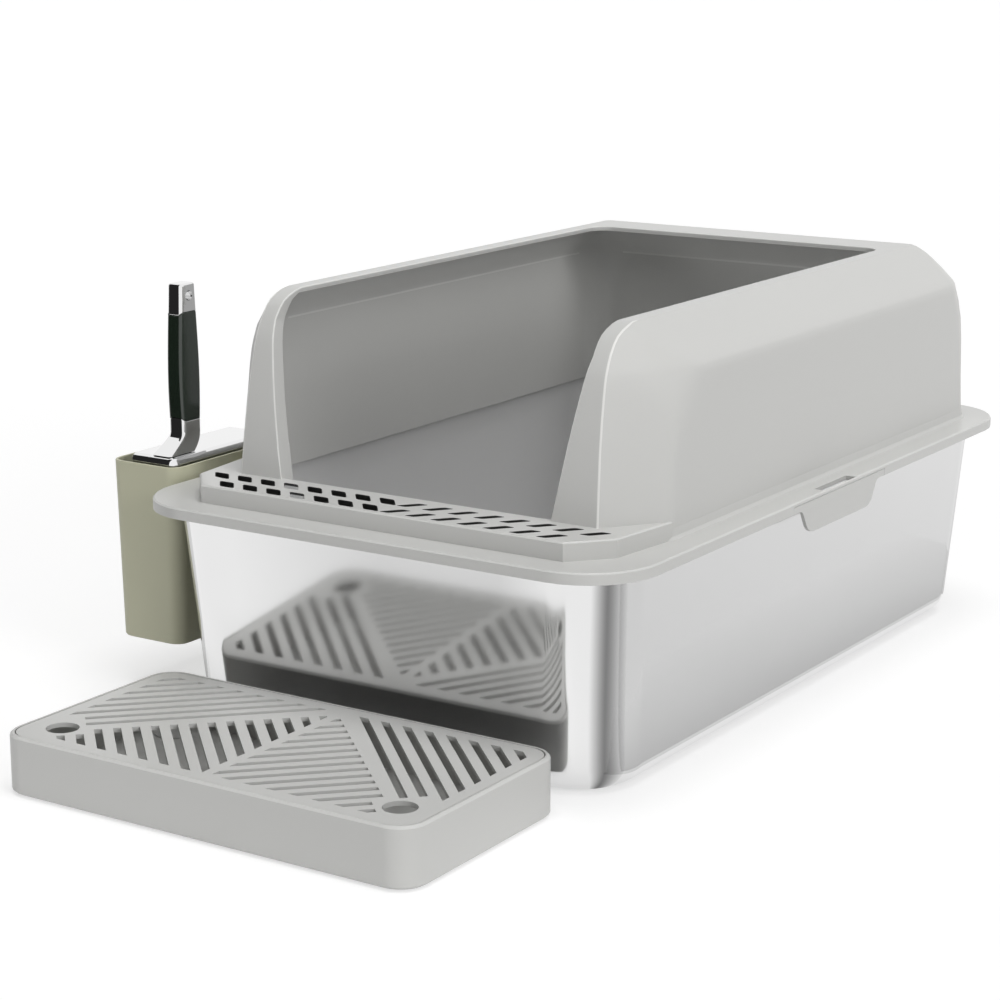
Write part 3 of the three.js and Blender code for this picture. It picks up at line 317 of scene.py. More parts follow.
def place_piece(bm, name, body, material, replaced, limit=SMOOTH_LIMIT):
    """Makes the piece's object; it rides on its body and stands for its nodes."""
    mark_edges(bm, limit)
    piece = mesh_object(name, bm)
    piece.data.materials.append(material)
    flats = piece.modifiers.new("Large faces first", "WEIGHTED_NORMAL")
    flats.keep_sharp = True
    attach(piece, body)
    if replaced:
        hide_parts(*replaced)
    return piece


def merged_copy(node):
    """Merged copy of a node's mesh with its flat faces joined."""
    bm = bmesh.new()
    bm.from_mesh(NODES[node].data)
    bmesh.ops.remove_doubles(bm, verts=bm.verts, dist=MERGE)
    bmesh.ops.dissolve_limit(bm, angle_limit=math.radians(FLAT_LIMIT), verts=bm.verts, edges=bm.edges,
                             delimit=set())
    return bm


def bevel(bm, edges, width, clamp=True):
    """Bevels some edges; gives the new faces."""
    made = bmesh.ops.bevel(bm, geom=edges, offset=width, offset_type="OFFSET", segments=EDGE_STEPS,
                           profile=0.5, affect="EDGES", clamp_overlap=clamp, material=-1)
    return made["faces"]


def round_edges(bm, width, limit=EDGE_LIMIT):
    """Bevels every edge whose faces meet at more than the limit."""
    bevel(bm, [edge for edge in bm.edges if edge.calc_face_angle(0.0) > math.radians(limit)], width)
    bmesh.ops.remove_doubles(bm, verts=bm.verts, dist=MERGE)


def rounded_copy(node, width, limit=EDGE_LIMIT):
    """Merged copy of a node's mesh with its sharp edges rounded."""
    bm = merged_copy(node)
    round_edges(bm, width, limit)
    return bm


def shine_edges(bm, edges, width, amount):
    """Bevels some edges and marks them for a painted highlight: a lighter colour on the bevel that stands
    in for the light a rounded edge catches.
    """
    layer = bm.faces.layers.float.get("painted_edge_highlight") or bm.faces.layers.float.new("painted_edge_highlight")
    for face in bevel(bm, edges, width, clamp=False):
        face[layer] = amount


def mark_faces(bm, name, test):
    """Marks the faces for which the test holds, for a material to read."""
    layer = bm.faces.layers.float.new(name)
    for face in bm.faces:
        face[layer] = 1.0 if test(face) else 0.0


# Finishes

NOISE_MIDDLE = 0.5
BRUSH_STRETCH = (90.0, 90.0, 2600.0)


def shader_node(tree, kind, **sockets):
    """New node with some of its sockets set."""
    made = tree.nodes.new(kind)
    for name, value in sockets.items():
        made.inputs[name.replace("_", " ")].default_value = value
    return made


def new_group(name, inputs):
    """Empty node group for a finish, with its inputs and their defaults; gives its two end nodes too."""
    group = bpy.data.node_groups.new(name, "ShaderNodeTree")
    for socket, default in inputs.items():
        kind = "NodeSocketFloat" if isinstance(default, float) else "NodeSocketColor"
        made = group.interface.new_socket(name=socket, in_out="INPUT", socket_type=kind)
        made.default_value = default
    group.interface.new_socket(name="Colour", in_out="OUTPUT", socket_type="NodeSocketColor")
    group.interface.new_socket(name="Roughness", in_out="OUTPUT", socket_type="NodeSocketFloat")
    group.interface.new_socket(name="Height", in_out="OUTPUT", socket_type="NodeSocketFloat")
    return group, group.nodes.new("NodeGroupInput"), group.nodes.new("NodeGroupOutput")


def maths(tree, operation, first, second):
    """Math node on two links or numbers; gives its output."""
    made = tree.nodes.new("ShaderNodeMath")
    made.operation = operation
    for index, value in enumerate((first, second)):
        if isinstance(value, (int, float)):
            made.inputs[index].default_value = value
        else:
            tree.links.new(value, made.inputs[index])
    return made.outputs[0]


def scaled(tree, colour, scale):
    """Colour times a linked number; gives the output."""
    made = tree.nodes.new("ShaderNodeVectorMath")
    made.operation = "SCALE"
    tree.links.new(colour, made.inputs[0])
    tree.links.new(scale, made.inputs["Scale"])
    return made.outputs[0]


def moulded_group():
    """Moulded plastic: slow shade drift, fine satin grain and uneven gloss."""
    found = bpy.data.node_groups.get("Moulded plastic")
    if found:
        return found
    group, inward, outward = new_group("Moulded plastic", {
        "Colour": (0.6, 0.6, 0.6, 1.0), "Drift": 0.03, "Grain Scale": 1600.0, "Roughness": 0.4,
        "Gloss Drift": 0.06})
    place = group.nodes.new("ShaderNodeTexCoord").outputs["Object"]
    slow = shader_node(group, "ShaderNodeTexNoise", Scale=9.0, Detail=3.0, Roughness=0.5)
    fine = shader_node(group, "ShaderNodeTexNoise", Detail=2.0, Roughness=0.6)
    group.links.new(place, slow.inputs["Vector"])
    group.links.new(place, fine.inputs["Vector"])
    group.links.new(inward.outputs["Grain Scale"], fine.inputs["Scale"])
    drift = inward.outputs["Drift"]
    swing = maths(group, "SUBTRACT", slow.outputs[0], NOISE_MIDDLE)
    shade = maths(group, "ADD", maths(group, "MULTIPLY", swing, drift), 1.0)
    grain = maths(group, "MULTIPLY", maths(group, "SUBTRACT", fine.outputs[0], NOISE_MIDDLE), drift)
    colour = scaled(group, inward.outputs["Colour"], maths(group, "ADD", shade, grain))
    gloss = maths(group, "MULTIPLY", swing, inward.outputs["Gloss Drift"])
    group.links.new(colour, outward.inputs["Colour"])
    group.links.new(maths(group, "ADD", inward.outputs["Roughness"], gloss), outward.inputs["Roughness"])
    group.links.new(fine.outputs[0], outward.inputs["Height"])
    return group


def handled_metal_group():
    """Metal that is drawn or polished: gentle waves, faint wiping marks and uneven blur."""
    found = bpy.data.node_groups.get("Handled metal")
    if found:
        return found
    group, inward, outward = new_group("Handled metal", {
        "Colour": (0.8, 0.8, 0.8, 1.0), "Roughness": 0.1, "Wiping": 0.03, "Wave Scale": 6.0,
        "Brushing": 0.1})
    place = group.nodes.new("ShaderNodeTexCoord").outputs["Object"]
    slow = shader_node(group, "ShaderNodeTexNoise", Detail=1.0, Roughness=0.4)
    wiped = shader_node(group, "ShaderNodeTexNoise", Scale=14.0, Detail=5.0, Roughness=0.6)
    stretch = shader_node(group, "ShaderNodeMapping", Scale=BRUSH_STRETCH)
    lines = shader_node(group, "ShaderNodeTexNoise", Scale=1.0, Detail=2.0, Roughness=0.5)
    for target in (slow, wiped, stretch):
        group.links.new(place, target.inputs["Vector"])
    group.links.new(stretch.outputs[0], lines.inputs["Vector"])
    group.links.new(inward.outputs["Wave Scale"], slow.inputs["Scale"])
    swing = maths(group, "SUBTRACT", wiped.outputs[0], NOISE_MIDDLE)
    marks = maths(group, "MULTIPLY", swing, inward.outputs["Wiping"])
    colour = scaled(group, inward.outputs["Colour"], maths(group, "ADD", marks, 1.0))
    group.links.new(colour, outward.inputs["Colour"])
    group.links.new(maths(group, "ADD", inward.outputs["Roughness"], marks), outward.inputs["Roughness"])
    brushed = maths(group, "MULTIPLY", lines.outputs[0], inward.outputs["Brushing"])
    group.links.new(maths(group, "ADD", slow.outputs[0], brushed), outward.inputs["Height"])
    return group


def finish_material(name, group, colour, roughness, values, bump, reach, metallic=0.0, specular=0.5):
    """Material whose colour, roughness and bump come from a node group."""
    material = bpy.data.materials.new(name)
    material.use_nodes = True
    tree = material.node_tree
    shader = tree.nodes["Principled BSDF"]
    shader.inputs["Metallic"].default_value = metallic
    shader.inputs["Specular IOR Level"].default_value = specular
    effect = tree.nodes.new("ShaderNodeGroup")
    effect.node_tree = group
    effect.inputs["Colour"].default_value = (*colour, 1.0)
    effect.inputs["Roughness"].default_value = roughness
    for socket, value in values.items():
        effect.inputs[socket].default_value = value
    relief = shader_node(tree, "ShaderNodeBump", Strength=bump, Distance=reach)
    tree.links.new(effect.outputs["Height"], relief.inputs["Height"])
    tree.links.new(effect.outputs["Colour"], shader.inputs["Base Color"])
    tree.links.new(effect.outputs["Roughness"], shader.inputs["Roughness"])
    tree.links.new(relief.outputs[0], shader.inputs["Normal"])
    return material


def marked(tree, name):
    """The mark of the faces, from nothing to one."""
    made = tree.nodes.new("ShaderNodeAttribute")
    made.attribute_name = name
    return made.outputs["Fac"]


def change_marked(material, socket, name, operation, amount):
    """Changes what feeds one of the shader's sockets where faces carry a mark."""
    tree = material.node_tree
    target = tree.nodes["Principled BSDF"].inputs[socket]
    source = target.links[0].from_socket if target.links else target.default_value
    share_marked = maths(tree, "MULTIPLY", marked(tree, name), amount)
    tree.links.new(maths(tree, operation, source, share_marked), target)


def shade_marked(material, name, amount):
    """Scales the colour up or down where faces carry a mark."""
    tree = material.node_tree
    target = tree.nodes["Principled BSDF"].inputs["Base Color"]
    scale = maths(tree, "ADD", 1.0, maths(tree, "MULTIPLY", marked(tree, name), amount))
    tree.links.new(scaled(tree, target.links[0].from_socket, scale), target)


def plastic(name, colour, roughness, drift=0.03, bump=0.12, gloss=0.5):
    """Moulded plastic of one colour."""
    values = {"Drift": drift, "Gloss Drift": 0.08}
    return finish_material(name, moulded_group(), colour, roughness, values, bump=bump, reach=0.00005,
                           specular=gloss)


def steel(settings):
    """Satin steel of the pan, duller where it looks into the pan's hollow."""
    values = {"Wiping": 0.03, "Wave Scale": 5.0, "Brushing": 0.002}
    material = finish_material("Pan steel", handled_metal_group(), settings.steel, settings.roughness,
                               values, bump=0.25, reach=0.0004, metallic=1.0)
    change_marked(material, "Roughness", "inside", "ADD", settings.inner_blur)
    change_marked(material, "Metallic", "inside", "SUBTRACT", settings.inner_satin)
    return material


def polished(settings):
    """Polished metal of the scoop."""
    values = {"Wiping": 0.02, "Wave Scale": 40.0, "Brushing": 0.0}
    return finish_material("Scoop metal", handled_metal_group(), settings.chrome, settings.chrome_roughness,
                           values, bump=0.08, reach=0.0002, metallic=1.0)


# Pieces

PAN_CORNER_STEPS = 20
FOOT_STEPS = 14
RIM_STEPS = 5
RIM_BEND = 0.0025
HEM_DROP = 0.003
FLOOR_FACING = 0.7


def pan_ring(settings, height, outset):
    """Outline of the pan's wall at one height, moved out by the outset."""
    rise = height / PAN_HIGH.z
    half_x = PAN_HIGH.x - settings.rim_width - settings.side_draft * (1 - rise) + outset
    half_y = PAN_HIGH.y - settings.rim_width - settings.end_draft * (1 - rise) + outset
    corner = settings.foot_corner + (settings.top_corner - settings.foot_corner) * rise + outset
    return at_height(rounded_rectangle(half_x, half_y, corner, PAN_CORNER_STEPS), height)


def bend(height, outset, radius, steps, start, end):
    """Height and outset along a bend of the pan's section, round one point."""
    return [(height + radius * math.sin(angle), outset + radius * math.cos(angle))
            for angle in quarter(steps, start, end)]


def pan_profile(settings):
    """Height and outset along the pan's section, from its underside over the rim to its floor."""
    foot, sheet, rim = settings.foot_bend, settings.sheet, settings.rim_width
    top = PAN_HIGH.z
    under = top - sheet - RIM_BEND
    hem = top - sheet - HEM_DROP
    profile = bend(foot, -foot, foot, FOOT_STEPS, -90, 0)
    profile += bend(under, RIM_BEND, RIM_BEND, RIM_STEPS, 180, 90)
    profile += [(top - sheet, rim - sheet), (hem, rim - sheet), (hem, rim), (top - sheet / 2, rim),
                (top, rim - sheet / 2)]
    profile += bend(under, RIM_BEND, RIM_BEND + sheet, RIM_STEPS, 90, 180)
    profile += bend(foot, -foot, foot - sheet, FOOT_STEPS, 0, -90)
    return profile


def looks_in(face):
    """Whether a face of the pan looks into its hollow."""
    centre = face.calc_center_median()
    inward = Vector((-centre.x, -centre.y, PAN_HIGH.z / 2 - centre.z))
    return face.normal.z > FLOOR_FACING or face.normal.dot(inward) > 0


class LITTER_OT_pan(bpy.types.Operator):
    """Makes the drawn steel pan with its rolled rim"""
    bl_idname = "litter_box.pan"
    bl_label = "Steel pan"
    bl_options = {"REGISTER", "UNDO"}

    def execute(self, context):
        settings = context.scene.litter_box.pan
        bm = skin([pan_ring(settings, height, outset) for height, outset in pan_profile(settings)])
        mark_faces(bm, "inside", looks_in)
        place_piece(bm, "drawn_pan", "pan", steel(settings), ["stainless_pan"])
        return {"FINISHED"}


GRILLE_TOP = 0.1634
GRILLE_SKIN = 0.002
GRILLE_LIP = 0.0005
GRILLE_ROWS = ((-0.2683, 7), (-0.2495, 8))
GRILLE_PITCH = 0.0193
GRILLE_HALF = 0.157
BARE_HOLES = ((-0.2683, 3), (-0.2495, 4))
HOLE_REACH = 0.0068
HOLE_WIDTH = 0.0118
HOLE_DEPTH = 0.0098
HOLE_LEAN = 0.0079
HOLE_ROUND = 0.0018
HOLE_STEPS = 3
LEVEL_FACING = 0.97
LARGE_FACE = 12
CREASE = (0.253, 0.2585)
CREASE_LIMIT = 20.0
# Strength of the painted edge highlight on the inner crease and on the wall's and pillars' edges.
CREASE_HIGHLIGHT = 0.6
WALL_HIGHLIGHT = 1.0
GUARD_SMOOTH_LIMIT = 24.0


def hole_centre(side, row, number):
    """Centre of one of the grille's holes, counted out from the middle on its side."""
    return Vector((side * GRILLE_PITCH * (number + 0.5), row))


def hole_at(point):
    """Side, centre and offset from its row of the grille hole at a point, or None."""
    side = math.copysign(1.0, point.x)
    for row, count in GRILLE_ROWS:
        offset = point.y - row
        along = abs(point.x) - offset * HOLE_LEAN / HOLE_DEPTH
        number = math.floor(along / GRILLE_PITCH)
        if abs(offset) < HOLE_REACH and 0 <= number < count:
            return side, hole_centre(side, row, number), offset
    return None


def stretch_holes(bm, settings):
    """Stretches each grille hole along its lean, and narrows those on the right."""
    for vertex in bm.verts:
        found = hole_at(vertex.co)
        if not found or not GRILLE_TOP - GRILLE_LIP - SHARP < vertex.co.z < GRILLE_TOP + SHARP:
            continue
        side, centre, offset = found
        if abs(vertex.co.x) > GRILLE_HALF or abs(offset) > HOLE_DEPTH / 2 + SHARP:
            continue
        lean = side * HOLE_LEAN / HOLE_DEPTH
        across = vertex.co.x - centre.x - offset * lean
        if side > 0:
            across *= 1 - 2 * settings.hole_narrowing / HOLE_WIDTH
        offset *= 1 + 2 * settings.hole_stretch / HOLE_DEPTH
        vertex.co.x = centre.x + across + offset * lean
        vertex.co.y = centre.y + offset


def hole_outline(settings, side, centre, grow):
    """Outline of a stretched hole, grown by a margin."""
    half_depth = HOLE_DEPTH / 2 + settings.hole_stretch
    lean = side * HOLE_LEAN / HOLE_DEPTH * half_depth
    half_width = HOLE_WIDTH / 2 + grow - (settings.hole_narrowing if side > 0 else 0.0)
    half_depth += grow
    corners = [(-half_width - lean, -half_depth), (half_width - lean, -half_depth),
               (half_width + lean, half_depth), (lean - half_width, half_depth)]
    return outline([(centre.x + x, centre.y + y, HOLE_ROUND, HOLE_STEPS) for x, y in corners])


def add_sleeve(bm, rings):
    """Adds a closed sleeve through rings of points."""
    edges = []
    for ring in ring_wall(bm, rings):
        edges += [bm.edges.get((ring[index - 1], ring[index])) for index in range(len(ring))]
    bmesh.ops.bridge_loops(bm, edges=edges)


def make_shade_collars(settings):
    """Short dark collars under all but the bare holes of the grille: painted shade, dark sleeves that stand
    in for the shadow seen through the holes.
    """
    bm = bmesh.new()
    top = GRILLE_TOP - GRILLE_LIP
    bottom = top - settings.collar
    places = [(row, number) for row, count in GRILLE_ROWS for number in range(count)]
    for row, number in places:
        for side in (-1, 1):
            if side < 0 and (row, number) in BARE_HOLES:
                continue
            centre = hole_centre(side, row, number)
            inner = hole_outline(settings, side, centre, SHARP / 2)
            outer = hole_outline(settings, side, centre, settings.collar_wall)
            add_sleeve(bm, [at_height(inner, top), at_height(inner, bottom), at_height(outer, bottom),
                            at_height(outer, top)])
    bmesh.ops.recalc_face_normals(bm, faces=bm.faces)
    return bm


def in_hole(face):
    """Whether a face of the guard lines one of the grille's holes, where the colour is darkened as painted
    shade.
    """
    centre = face.calc_center_median()
    found = hole_at(centre)
    if not found or abs(face.normal.z) > LEVEL_FACING:
        return False
    inwards = face.normal.xy.dot(found[1] - centre.xy) > 0
    return inwards and GRILLE_TOP - GRILLE_SKIN - SHARP < centre.z < GRILLE_TOP + SHARP


def wall_edges(bm):
    """Sharp edges of the guard's wall and pillars."""
    edges = []
    for edge in bm.edges:
        low, high = sorted(vertex.co.z for vertex in edge.verts)
        above = low > GRILLE_TOP - SHARP and high > GRILLE_TOP + OVERRUN
        if above and edge.calc_face_angle(0.0) > math.radians(EDGE_LIMIT):
            edges.append(edge)
    return edges


def crease_edges(bm):
    """Crease under the shoulder, inside the wall."""
    edges = []
    for edge in bm.edges:
        low, high = sorted(vertex.co.z for vertex in edge.verts)
        if low < CREASE[0] or high > CREASE[1] or high - low > SHARP:
            continue
        middle = (edge.verts[0].co + edge.verts[1].co) / 2
        facing = sum((face.normal for face in edge.link_faces), Vector())
        creased = edge.calc_face_angle(0.0) > math.radians(CREASE_LIMIT)
        if creased and facing.x * middle.x + facing.y * middle.y < 0:
            edges.append(edge)
    return edges


class LITTER_OT_guard(bpy.types.Operator):
    """Makes the guard moulding with its grille, and its two latch tongues"""
    bl_idname = "litter_box.guard"
    bl_label = "Guard"
    bl_options = {"REGISTER", "UNDO"}

    def execute(self, context):
        settings = context.scene.litter_box.guard
        material = plastic("Guard plastic", settings.colour, settings.roughness)
        # Painted shade: the faces lining the grille's holes are darkened in place of the shadow inside
        # them.
        shade_marked(material, "hole", -settings.hole_shade)
        # Painted highlight: the marked edge bevels get a lighter colour in place of the light they catch.
        shade_marked(material, "painted_edge_highlight", settings.shine)
        bm = merged_copy("guard")
        bmesh.ops.triangulate(bm, faces=[face for face in bm.faces if len(face.verts) > LARGE_FACE])
        stretch_holes(bm, settings)
        # These bevels carry the painted edge highlight, a lighter colour standing in for catching light.
        shine_edges(bm, wall_edges(bm), settings.wall_edge, WALL_HIGHLIGHT)
        shine_edges(bm, crease_edges(bm), settings.wall_edge, CREASE_HIGHLIGHT)
        round_edges(bm, settings.edge)
        mark_faces(bm, "hole", in_hole)
        place_piece(bm, "moulded_guard", "guard", material, ["guard"], GUARD_SMOOTH_LIMIT)
        # Painted shade: near-black collars under the holes stand in for the shadow seen through them.
        dark = plastic("Collar shade", settings.collar_shade_colour, settings.roughness)
        place_piece(make_shade_collars(settings), "grille_shade_collars", "guard", dark, [])
        for node, name, body in (("latch_right", "tongue_right", "latch_r"),
                                 ("latch_left", "tongue_left", "latch_l")):
            tongue = rounded_copy(node, settings.tongue_edge)
            place_piece(tongue, name, body, material, [node])
        return {"FINISHED"}


class LITTER_OT_holder(bpy.types.Operator):
    """Makes the scoop's holder with its hook"""
    bl_idname = "litter_box.holder"
    bl_label = "Scoop holder"
    bl_options = {"REGISTER", "UNDO"}

    def execute(self, context):
        settings = context.scene.litter_box.holder
        material = plastic("Holder plastic", settings.colour, settings.roughness)
        bm = rounded_copy("scoop_holder", settings.edge)
        place_piece(bm, "hanging_holder", "holder", material, ["scoop_holder"])
        return {"FINISHED"}


HANDLE_AXIS = (GRIP_LOW + GRIP_HIGH) / 2
HANDLE_STEPS = 6
SWELL_CURVE = 1.3
GRIP_STEPS = 14
TOE_RISE = 1.15
TOE_CURVE = 1.5
HEEL_CURVE = 2.2
FOOT_SWELL = 0.25
TOE_STEPS = 12
NECK_STEPS = 6
CAP_STEPS = 8
CAP_ROUND_STEPS = 4
BORE_STEPS = 32

# Distance from the seam and inset of each section of a metal lip, in shares of the seam's rounding.
LIP = ((0.25, 0.5), (0.0, 2.0))


def handle_outline(settings, height, inset=0.0):
    """Rounded section of the handle at one height: it narrows upwards and swells at mid grip."""
    rise = max(0.0, min(1.0, (height - GRIP_LOW.z) / (CAP_HIGH.z - GRIP_LOW.z)))
    swell = 1 + settings.swell * math.sin(math.pi * (1 - rise) ** SWELL_CURVE)
    width = (settings.neck_width + (settings.cap_width - settings.neck_width) * rise) * swell
    thickness = settings.neck_thickness + (settings.cap_thickness - settings.neck_thickness) * rise
    return rounded_rectangle(thickness / 2 - inset, width / 2 - inset, settings.edge - inset, HANDLE_STEPS,
                             HANDLE_AXIS[:2])


def waved(settings, points, height, seam, side):
    """Lifts a section to its height, bent near a seam so that the grip reaches along its broad faces."""
    half_x = max(point.x for point in points) - HANDLE_AXIS.x
    half_y = max(point.y for point in points) - HANDLE_AXIS.y
    fade = max(0.0, 1 - abs(height - seam) / settings.wave_run)
    ring = []
    for point in points:
        across = ((point.x - HANDLE_AXIS.x) / half_x) ** 2
        along = ((point.y - HANDLE_AXIS.y) / half_y) ** 2
        ring.append((point.x, point.y, height + side * settings.grip_wave * (across - along) * fade))
    return ring


def handle_rings(settings, bottom, top, seam, side, count):
    """Evenly spaced sections of the handle, bent towards one seam."""
    heights = [bottom + (top - bottom) * step / count for step in range(count + 1)]
    return [waved(settings, handle_outline(settings, height), height, seam, side) for height in heights]


def seam_ring(settings, height, inset, seam, side):
    """Slightly smaller section that rounds a piece's end at a seam."""
    return waved(settings, handle_outline(settings, height, inset), height, seam, side)


def metal_lip(settings, seam, side):
    """Sections that round the metal at its seam with the grip, the seam's own section last."""
    soft = settings.seam
    return [seam_ring(settings, seam + side * soft * rise, soft * inset, seam, side) for rise, inset in LIP]


def make_grip(settings):
    """Grip whose ends reach further along its broad faces."""
    low, high, middle = GRIP_LOW.z, GRIP_HIGH.z, (GRIP_LOW.z + GRIP_HIGH.z) / 2
    soft = settings.seam
    rings = [seam_ring(settings, low, soft, low, -1)]
    rings += handle_rings(settings, low + soft, middle, low, -1, GRIP_STEPS)
    rings += handle_rings(settings, middle, high - soft, high, 1, GRIP_STEPS)[1:]
    rings.append(seam_ring(settings, high, soft, high, 1))
    return skin(rings)


def foot_outline(settings, rise):
    """Section of the neck's foot, which sweeps forward into a thin toe as it comes down."""
    toe = settings.foot_reach * (1 - rise ** TOE_RISE) ** TOE_CURVE
    heel = settings.foot_reach / 2 * (1 - rise) ** HEEL_CURVE
    thick = settings.neck_thickness / 2 * (1 + (1 - rise) ** 2 * FOOT_SWELL)
    front = -settings.neck_width / 2 - toe
    back = settings.neck_width / 2 - heel
    centre = (HANDLE_AXIS.x, HANDLE_AXIS.y + (front + back) / 2)
    return rounded_rectangle(thick, (back - front) / 2, settings.edge, HANDLE_STEPS, centre)


def make_neck(settings):
    """Polished neck that sweeps forward onto the blade."""
    base, seam = NECK_LOW.z, GRIP_LOW.z
    rings = []
    for step in range(TOE_STEPS + 1):
        rise = step / TOE_STEPS
        rings.append(at_height(foot_outline(settings, rise), base + settings.foot_height * rise))
    start = base + settings.foot_height
    rings += handle_rings(settings, start, seam - settings.seam, seam, -1, NECK_STEPS)[1:]
    return skin(rings + metal_lip(settings, seam, -1))


def make_cap(settings):
    """Polished end cap with a rounded top."""
    seam, top = GRIP_HIGH.z, CAP_HIGH.z
    rings = metal_lip(settings, seam, 1)[::-1]
    rings += handle_rings(settings, seam + settings.seam, top - settings.cap_round, seam, 1, CAP_STEPS)
    for angle in quarter(CAP_ROUND_STEPS, 0, 90)[1:]:
        inset = settings.cap_round * (1 - math.cos(angle))
        height = top - settings.cap_round * (1 - math.sin(angle))
        rings.append(at_height(handle_outline(settings, height, inset), height))
    return skin(rings)


def bore(piece, radius, centre, half_length):
    """Cuts a round hole along X through a piece."""
    bm = bmesh.new()
    bmesh.ops.create_cone(bm, cap_ends=True, segments=BORE_STEPS, radius1=radius, radius2=radius,
                          depth=half_length * 2)
    bmesh.ops.rotate(bm, verts=bm.verts, cent=(0, 0, 0), matrix=Matrix.Rotation(math.pi / 2, 3, "Y"))
    bmesh.ops.translate(bm, verts=bm.verts, vec=centre)
    cutter = mesh_object("cutter", bm)
    cut = piece.modifiers.new("Bore", "BOOLEAN")
    cut.operation = "DIFFERENCE"
    cut.object = cutter
    shaped = bpy.data.meshes.new_from_object(piece.evaluated_get(bpy.context.evaluated_depsgraph_get()))
    piece.modifiers.clear()
    piece.data = shaped
    bpy.data.objects.remove(cutter)


class LITTER_OT_scoop(bpy.types.Operator):
    """Makes the scoop: folded blade, neck, grip and end cap"""
    bl_idname = "litter_box.scoop"
    bl_label = "Scoop"
    bl_options = {"REGISTER", "UNDO"}

    def execute(self, context):
        settings = context.scene.litter_box.scoop
        metal = polished(settings)
        grip = plastic("Grip plastic", settings.grip, settings.grip_roughness, drift=0.08, bump=0.2,
                       gloss=settings.grip_gloss)
        blade = rounded_copy("scoop_blade", settings.blade_edge)
        place_piece(blade, "folded_blade", "scoop", metal, ["scoop_blade"])
        place_piece(make_neck(settings), "swept_neck", "scoop", metal, ["scoop_neck"])
        place_piece(make_grip(settings), "dark_grip", "scoop", grip, ["scoop_grip"])
        cap = place_piece(make_cap(settings), "capped_end", "scoop", metal,
                          ["scoop_end_cap"])
        centre = (HANDLE_AXIS.x, HANDLE_AXIS.y, CAP_HIGH.z - settings.hang_drop)
        bore(cap, settings.hang_hole, centre, settings.neck_thickness)
        return {"FINISHED"}


FEET = 4
GRATE_EDGE_LIMIT = 40.0


class LITTER_OT_step(bpy.types.Operator):
    """Makes the step: tray, slotted grate and rubber feet"""
    bl_idname = "litter_box.step"
    bl_label = "Step"
    bl_options = {"REGISTER", "UNDO"}

    def execute(self, context):
        settings = context.scene.litter_box.step
        material = plastic("Step plastic", settings.colour, settings.roughness)
        tray = rounded_copy("step_tray", settings.edge)
        place_piece(tray, "moulded_tray", "step", material, ["step_tray"])
        grate = rounded_copy("step_grate", settings.slot_edge, GRATE_EDGE_LIMIT)
        place_piece(grate, "slotted_grate", "grate", material, ["step_grate"])
        rubber = plastic("Foot rubber", settings.rubber, roughness=0.8, drift=0.1, bump=0.4)
        for number in range(1, FEET + 1):
            node = f"step_foot_{number}"
            place_piece(merged_copy(node), f"rubber_foot_{number}", "step", rubber, [node])
        return {"FINISHED"}


# Stage

CAMERA_PLACE = (0.904007, -1.519857, 0.539037)
SENSOR_WIDTH = 36.0
VIEW_END = 100.0
FLOOR_HALF = 12.0
NO_MATTE_BOUNCE = 0.5
PAN_SIDE = 0.177
SIDE_START = -0.24
SIDE_REACH = 1.2
FOOT_START = 0.17
FOOT_END = 0.27
BACK_START = 0.28
FLOOR_REACH = 1.9
SIDE_FILM_HEIGHT = 0.0012
FRONT_FILM = {"y": -0.2925, "low": 0.0, "high": 0.143}
FRONT_SPLIT = 0.09
FRONT_CLEAR = 0.79
WEDGE_HEIGHT = 0.001
WEDGE_REACH = 0.9
WEDGE_WIDTH = 2
WEDGE_INSET = 0.045
WEDGE_CLEAR = 0.25
WEDGE_GAIN = 0.7
WEDGE_CURVE = 1.3

# Azimuths at which the wedges start, are darkest and end.
WEDGE_TURNS = (43, 69, 105)


def direction(azimuth, elevation=0.0):
    """Direction from the set towards an azimuth and elevation, in radians."""
    return Vector((math.sin(azimuth) * math.cos(elevation), -math.cos(azimuth) * math.cos(elevation),
                   math.sin(elevation)))


def aim(made, azimuth, elevation):
    """Turns a lamp or camera so that it looks back from an azimuth and elevation, in radians."""
    made.rotation_mode = "QUATERNION"
    made.rotation_quaternion = (-direction(azimuth, elevation)).to_track_quat("-Z", "Y")


def sun(name, power, azimuth, elevation, softness):
    """Soft distant lamp, so that its light is even all over the stage. Angles are in degrees."""
    data = bpy.data.lights.new(name, "SUN")
    data.energy = power
    data.angle = math.radians(softness)
    made = fresh_object(name, data)
    aim(made, math.radians(azimuth), math.radians(elevation))
    made.visible_glossy = False


def upright(left, right, y, low, high):
    """Corners of an upright rectangle that faces the front."""
    return [(left, y, low), (right, y, low), (right, y, high), (left, y, high)]


def flat(left, right, front, back, height):
    """Corners of a level rectangle."""
    return [(left, front, height), (right, front, height), (right, back, height), (left, back, height)]


def wedge(place, azimuths):
    """Corners of a wedge over the floor, with its tip at a place and its sides at two azimuths."""
    tip = Vector((*place, WEDGE_HEIGHT))
    return [tip] + [tip + direction(math.radians(azimuth)) * WEDGE_REACH for azimuth in azimuths]


def glowing_material(name, kind):
    """Material of one plain shader and a white glow added; gives it with both shaders."""
    material = bpy.data.materials.new(name)
    material.use_nodes = True
    tree = material.node_tree
    tree.nodes.clear()
    plain = tree.nodes.new(kind)
    light = shader_node(tree, "ShaderNodeEmission", Color=WHITE)
    both = tree.nodes.new("ShaderNodeAddShader")
    out = tree.nodes.new("ShaderNodeOutputMaterial")
    tree.links.new(plain.outputs[0], both.inputs[0])
    tree.links.new(light.outputs[0], both.inputs[1])
    tree.links.new(both.outputs[0], out.inputs["Surface"])
    return material, plain, light


